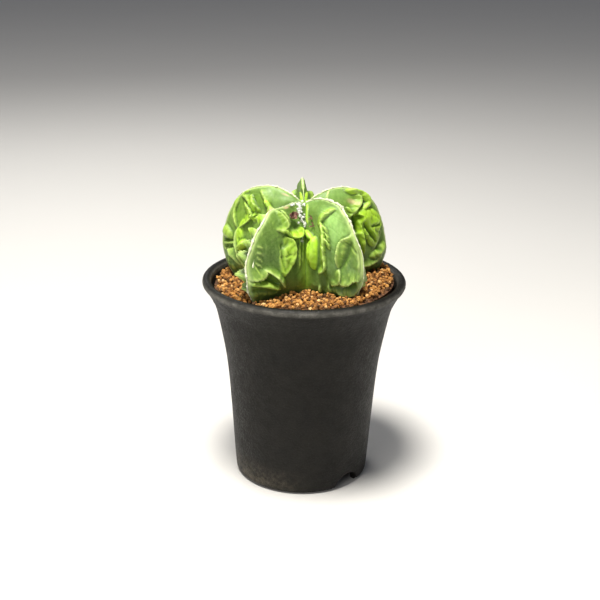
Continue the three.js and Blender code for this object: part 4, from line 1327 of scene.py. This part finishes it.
woolDesign = {
    "clumps": 96, "fibres": 1300, "seed": 11, "clumpSize": (0.22, 0.52), "fibreLength": (0.4, 1.1),
    # chains of tufts over the front left face: start and end (s, t), spread, number
    "chains": [((0.30, 0.12), (0.60, 0.19), 0.06, 16), ((0.60, 0.17), (0.84, 0.29), 0.09, 22),
               ((0.97, 0.27), (0.93, 0.33), 0.05, 9), ((0.84, 0.42), (0.88, 0.45), 0.03, 6),
               ((0.05, 0.20), (0.12, 0.12), 0.03, 9)],
    "chainShape": (1, 0.4),  # spread across and down, in spreads
    "crown": ((0.55, 0.45), (0.01, 0.06)),  # the tufts round the crown: s and t from, and how far on
    "heart": 22,  # mm over the plant's foot, the point that all tufts stand away from
    "clumpGrid": (7, 10, 0.25),  # rows, sides and the opening at both poles, in radians
    "clumpWobble": 0.25,
    "clumpStand": 0.7,  # how far a clump's middle stands out, in its own size
    "fibreRoot": 0.9,
    "fibreSteps": 5,
    "fibreWay": (0.6, 0.8, 0.45),  # how much it goes outwards, at random and curls
    "fibreThin": (0.045, 0.8),  # radius at the root, and the share it loses to the tip
}

woolFinish = dict(feltFinish, tone=(900.0, 0.2, (0.88, 0.86, 0.78, 1), (0.96, 0.955, 0.92, 1)))


# Tufts along the chains, at random round a straight line of (s, t), and the rest round the crown
def woolPlaces(rng, design, plant):
    places = []
    for s0, s1, spread, count in design["chains"]:
        f = rng.random(count)
        stray = rng.normal(size=(count, 2)) * spread * design["chainShape"]
        spots = np.clip(np.outer(1 - f, s0) + np.outer(f, s1) + stray, 0.02, 0.99)
        places.append(facePoint(plant, 0, 1, spots[:, 0], spots[:, 1]))
    (s0, sMore), (t0, tMore) = design["crown"]
    ribs = len(plant["ribs"])
    for k in range(design["clumps"] - sum(chain[3] for chain in design["chains"])):
        s, t = s0 + sMore * rng.random(), t0 + tMore * rng.random()
        places.append(facePoint(plant, k % ribs, 1, np.array(s), np.array(t))[None])
    return np.concatenate(places)


# A clump is a ball of rings, pushed about at random
def woolClumps(rng, design, places, out, size):
    rows, sides, opening = design["clumpGrid"]
    polar = np.linspace(opening, np.pi - opening, rows)
    angle = roundAngles(sides)
    ball = np.stack([np.sin(polar)[:, None] * np.cos(angle), np.sin(polar)[:, None] * np.sin(angle),
                     np.cos(polar)[:, None] + 0 * angle], -1)
    shape, tris = closedRings(ball)
    wobble = rng.uniform(-design["clumpWobble"], design["clumpWobble"], (len(places), len(shape), 1))
    cloud = shape[None] * size[:, None, None] * (1 + wobble)
    cloud = cloud + (places + out * size[:, None] * design["clumpStand"])[:, None]
    return cloud.reshape(-1, 3), repeatFaces(faceOutwards(shape, tris), len(places), len(shape))


# Fibres are thin three-sided tubes that curl away from a clump, along start + way * u +
# curl * u squared, and taper to the tip
def woolFibres(rng, design, places, out, size):
    count, steps, sides = design["fibres"], design["fibreSteps"], 3
    outwards, astray, curling = design["fibreWay"]
    pick = rng.integers(0, len(places), count)
    start = places[pick] + out[pick] * size[pick][:, None] * design["fibreRoot"]
    way = unit(out[pick] * outwards + rng.normal(size=(count, 3)) * astray)
    curl = rng.normal(size=(count, 3)) * curling
    length = rng.uniform(*design["fibreLength"], count)
    u = np.linspace(0, 1, steps)
    bent = way[:, None] * u[None, :, None] + curl[:, None] * (u ** 2)[None, :, None]
    line = start[:, None] + bent * length[:, None, None]
    sideA = unit(np.cross(way, rng.normal(size=(count, 3))))
    sideB = np.cross(way, sideA)
    angle = roundAngles(sides)[None, None, :, None]
    radius, lost = design["fibreThin"]
    thin = (radius * (1 - lost * u))[None, :, None, None]
    ring = np.cos(angle) * sideA[:, None, None] + np.sin(angle) * sideB[:, None, None]
    tubes = line[:, :, None] + ring * thin
    ends = np.array([[2, 1, 0], [steps * sides - 3, steps * sides - 2, steps * sides - 1]])
    tris = np.concatenate([splitQuads(ringQuads(steps, sides)), ends])
    return tubes.reshape(-1, 3), repeatFaces(tris, count, steps * sides)


def makeWool(design, plant):
    rng = np.random.default_rng(design["seed"])
    places = woolPlaces(rng, design, plant)
    out = unit(places - np.array([plant["offset"], 0, plant["level"] + design["heart"]]))
    size = rng.uniform(*design["clumpSize"], len(places))
    points, tris = woolClumps(rng, design, places, out, size)
    more, moreTris = woolFibres(rng, design, places, out, size)
    tris = np.concatenate([tris, moreTris + len(points)])
    material = makeMattMaterial("crownWool", woolFinish)
    piece = makePiece("wool_tufts", np.concatenate([points, more]), tris, material)
    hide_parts("crown_wool")


makeWool(woolDesign, plantDesign)
print("wool made")

budDesign = {
    "seed": 5,
    # rib, side, place (s, t), number of petals, their length and half width: the flower and a scrap
    "heads": [(0, 1, (0.40, 0.312), 15, 3.5, 1.1), (1, -1, (0.66, 0.29), 3, 3.0, 0.35),
              (1, -1, (0.70, 0.37), 3, 2.6, 0.35)],
    "grid": (8, 6),  # points along and across a petal
    "turn": 0.3,  # how far a petal turns from its even place round the head
    "lengths": (0.6, 1),  # least and greatest, in the length and width given above
    "widths": (0.7, 1.2),
    "bend": (0.6, 1.5),  # radians of its arc
    "reach": 0.75,  # how much of its reach along the face it has
    "stand": 0.5,  # mm that its foot stands out of the face
    "outline": (0.12, 0.8, 0.8),  # the half wave that gives its width: from, how much of it, height
    "crumple": (0.14, 0.25),  # mm of waves, and how far the edges turn up
    "thickness": 0.16,
}

budFinish = {
    "plain": {"Roughness": 0.85},
    "tone": (650.0, 0.16, (0.060, 0.022, 0.014, 1), (0.42, 0.21, 0.15, 1)),
    "grain": (3000.0, 0.4),
    "bump": (0.8, 0.0002),
}


# A dried petal: a narrow blade of u along and v across it, its middle line an arc that leans out
# of the face, with a crumpled edge
def dryPetal(rng, design, k, spot, longest, widest, place):
    centre, along, down, out = spot
    rows, columns = design["grid"]
    u, v = np.meshgrid(np.linspace(0, 1, rows), np.linspace(-1, 1, columns), indexing="ij")
    turn = 2 * np.pi * place + rng.uniform(-design["turn"], design["turn"])
    way = along * math.cos(turn) + down * math.sin(turn)
    side = np.cross(out, way)
    length, width = longest * rng.uniform(*design["lengths"]), widest * rng.uniform(*design["widths"])
    bend = rng.uniform(*design["bend"])
    waveFrom, waveOver, waveHeight = design["outline"]
    waves, edges = design["crumple"]
    reach = np.sin(u * bend) / bend * length * design["reach"]
    rise = design["stand"] + (1 - np.cos(u * bend)) / bend * length
    across = v * width * np.sin(np.pi * (waveFrom + waveOver * u)) * waveHeight
    crumpled = waves * np.sin(7 * u + 3 * v + k) + edges * v ** 2
    sheet = centre + reach[..., None] * way + (rise + crumpled)[..., None] * out + across[..., None] * side
    under = (sheet - design["thickness"] * out)[:, ::-1]
    return closedRings(np.concatenate([sheet, under], axis=1))


def makeBud(design, plant):
    rng = np.random.default_rng(design["seed"])
    points, faces = [], []
    start, k = 0, 0
    for rib, side, (s, t), count, longest, widest in design["heads"]:
        s, t = np.array(s), np.array(t)
        spot = (facePoint(plant, rib, side, s, t), *faceFrame(plant, rib, side, s, t))
        for petal in range(count):
            blade, bladeTris = dryPetal(rng, design, k, spot, longest, widest, petal / count)
            points.append(blade)
            faces.append(faceOutwards(blade - blade.mean(0), bladeTris) + start)
            start += len(blade)
            k += 1
    material = makeMattMaterial("driedBud", budFinish)
    piece = makePiece("bud_petals", np.concatenate(points), np.concatenate(faces), material)
    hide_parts("dried_bud")


makeBud(budDesign, plantDesign)
print("bud made")

# Stage: a pale floor, soft light and the photograph's camera
stageDesign = {
    "floorHalf": 3000,  # mm
    "floor": {"plain": {"Roughness": 0.8},
              "tone": (6.0, 0.4, (0.72, 0.70, 0.67, 1), (0.7416, 0.721, 0.6901, 1))},
    "world": (0.86, 0.90, 1.0, 1),
    "worldStrength": 0.16,
    # place, aim, size, power, colour
    "lights": [
        ("keyLight", (-0.10, -0.20, 0.95), (0, 0, 0.09), 0.28, 14.3, (1.0, 0.98, 0.93)),
        ("sideLight", (-0.35, -0.78, 0.34), (0, 0, 0.09), 0.35, 1.9, (1.0, 0.98, 0.94)),
        ("backLight", (-0.25, 0.6, 0.6), (0, 0, 0.11), 0.4, 1.6, (1.0, 1.0, 0.98)),
    ],
}


def makeFloor(design):
    half = design["floorHalf"]
    corners = [(-half, -half, 0), (half, -half, 0), (half, half, 0), (-half, half, 0)]
    mesh = newMesh("floor", corners, [(0, 1, 2, 3)])
    mesh.materials.append(makeMattMaterial("paleFloor", design["floor"]))
    floor = addObject("floor", mesh)


def turnTowards(place, target):
    return (Vector(target) - Vector(place)).to_track_quat("-Z", "Y")


def makeLights(design):
    world = bpy.data.worlds.new("softWorld")
    world.use_nodes = True
    sky = world.node_tree.nodes["Background"]
    sky.inputs["Color"].default_value = design["world"]
    sky.inputs["Strength"].default_value = design["worldStrength"]
    bpy.context.scene.world = world
    for name, place, target, size, power, colour in design["lights"]:
        lamp = bpy.data.lights.new(name, "AREA")
        lamp.shape = "DISK"
        lamp.size, lamp.energy, lamp.color = size, power, colour
        item = addObject(name, lamp)
        item.location = place
        item.rotation_euler = turnTowards(place, target).to_euler()


cameraDesign = {
    "elevation": 20.06,  # degrees above the point it looks at
    "distance": 534.95,  # mm
    "aimHeight": 81.36,
    "aimSide": -1.68,
    "roll": -0.92,
    "focalPixels": 1199.77,
    "imageWidth": 600,
    "sensor": 36.0,
    "nearest": 0.01,  # metres, nothing closer is drawn
}


def makeCamera(design):
    up, aimHeight = math.radians(design["elevation"]), design["aimHeight"]
    level, rise = design["distance"] * math.cos(up), design["distance"] * math.sin(up)
    place, target = Vector((0, -level, aimHeight + rise)), Vector((design["aimSide"], 0, aimHeight))
    roll = Matrix.Rotation(math.radians(-design["roll"]), 3, "Z")
    lens = bpy.data.cameras.new("camera")
    lens.sensor_width = design["sensor"]
    lens.lens = design["focalPixels"] * design["sensor"] / design["imageWidth"]
    lens.clip_start = design["nearest"]
    camera = addObject("camera", lens)
    turn = turnTowards(place, target).to_matrix() @ roll
    camera.matrix_world = Matrix.Translation(place * mm) @ turn.to_4x4()
    bpy.context.scene.camera = camera


makeFloor(stageDesign)
makeLights(stageDesign)
makeCamera(cameraDesign)
print("stage made")

bpy.context.scene.view_settings.view_transform = "Standard"
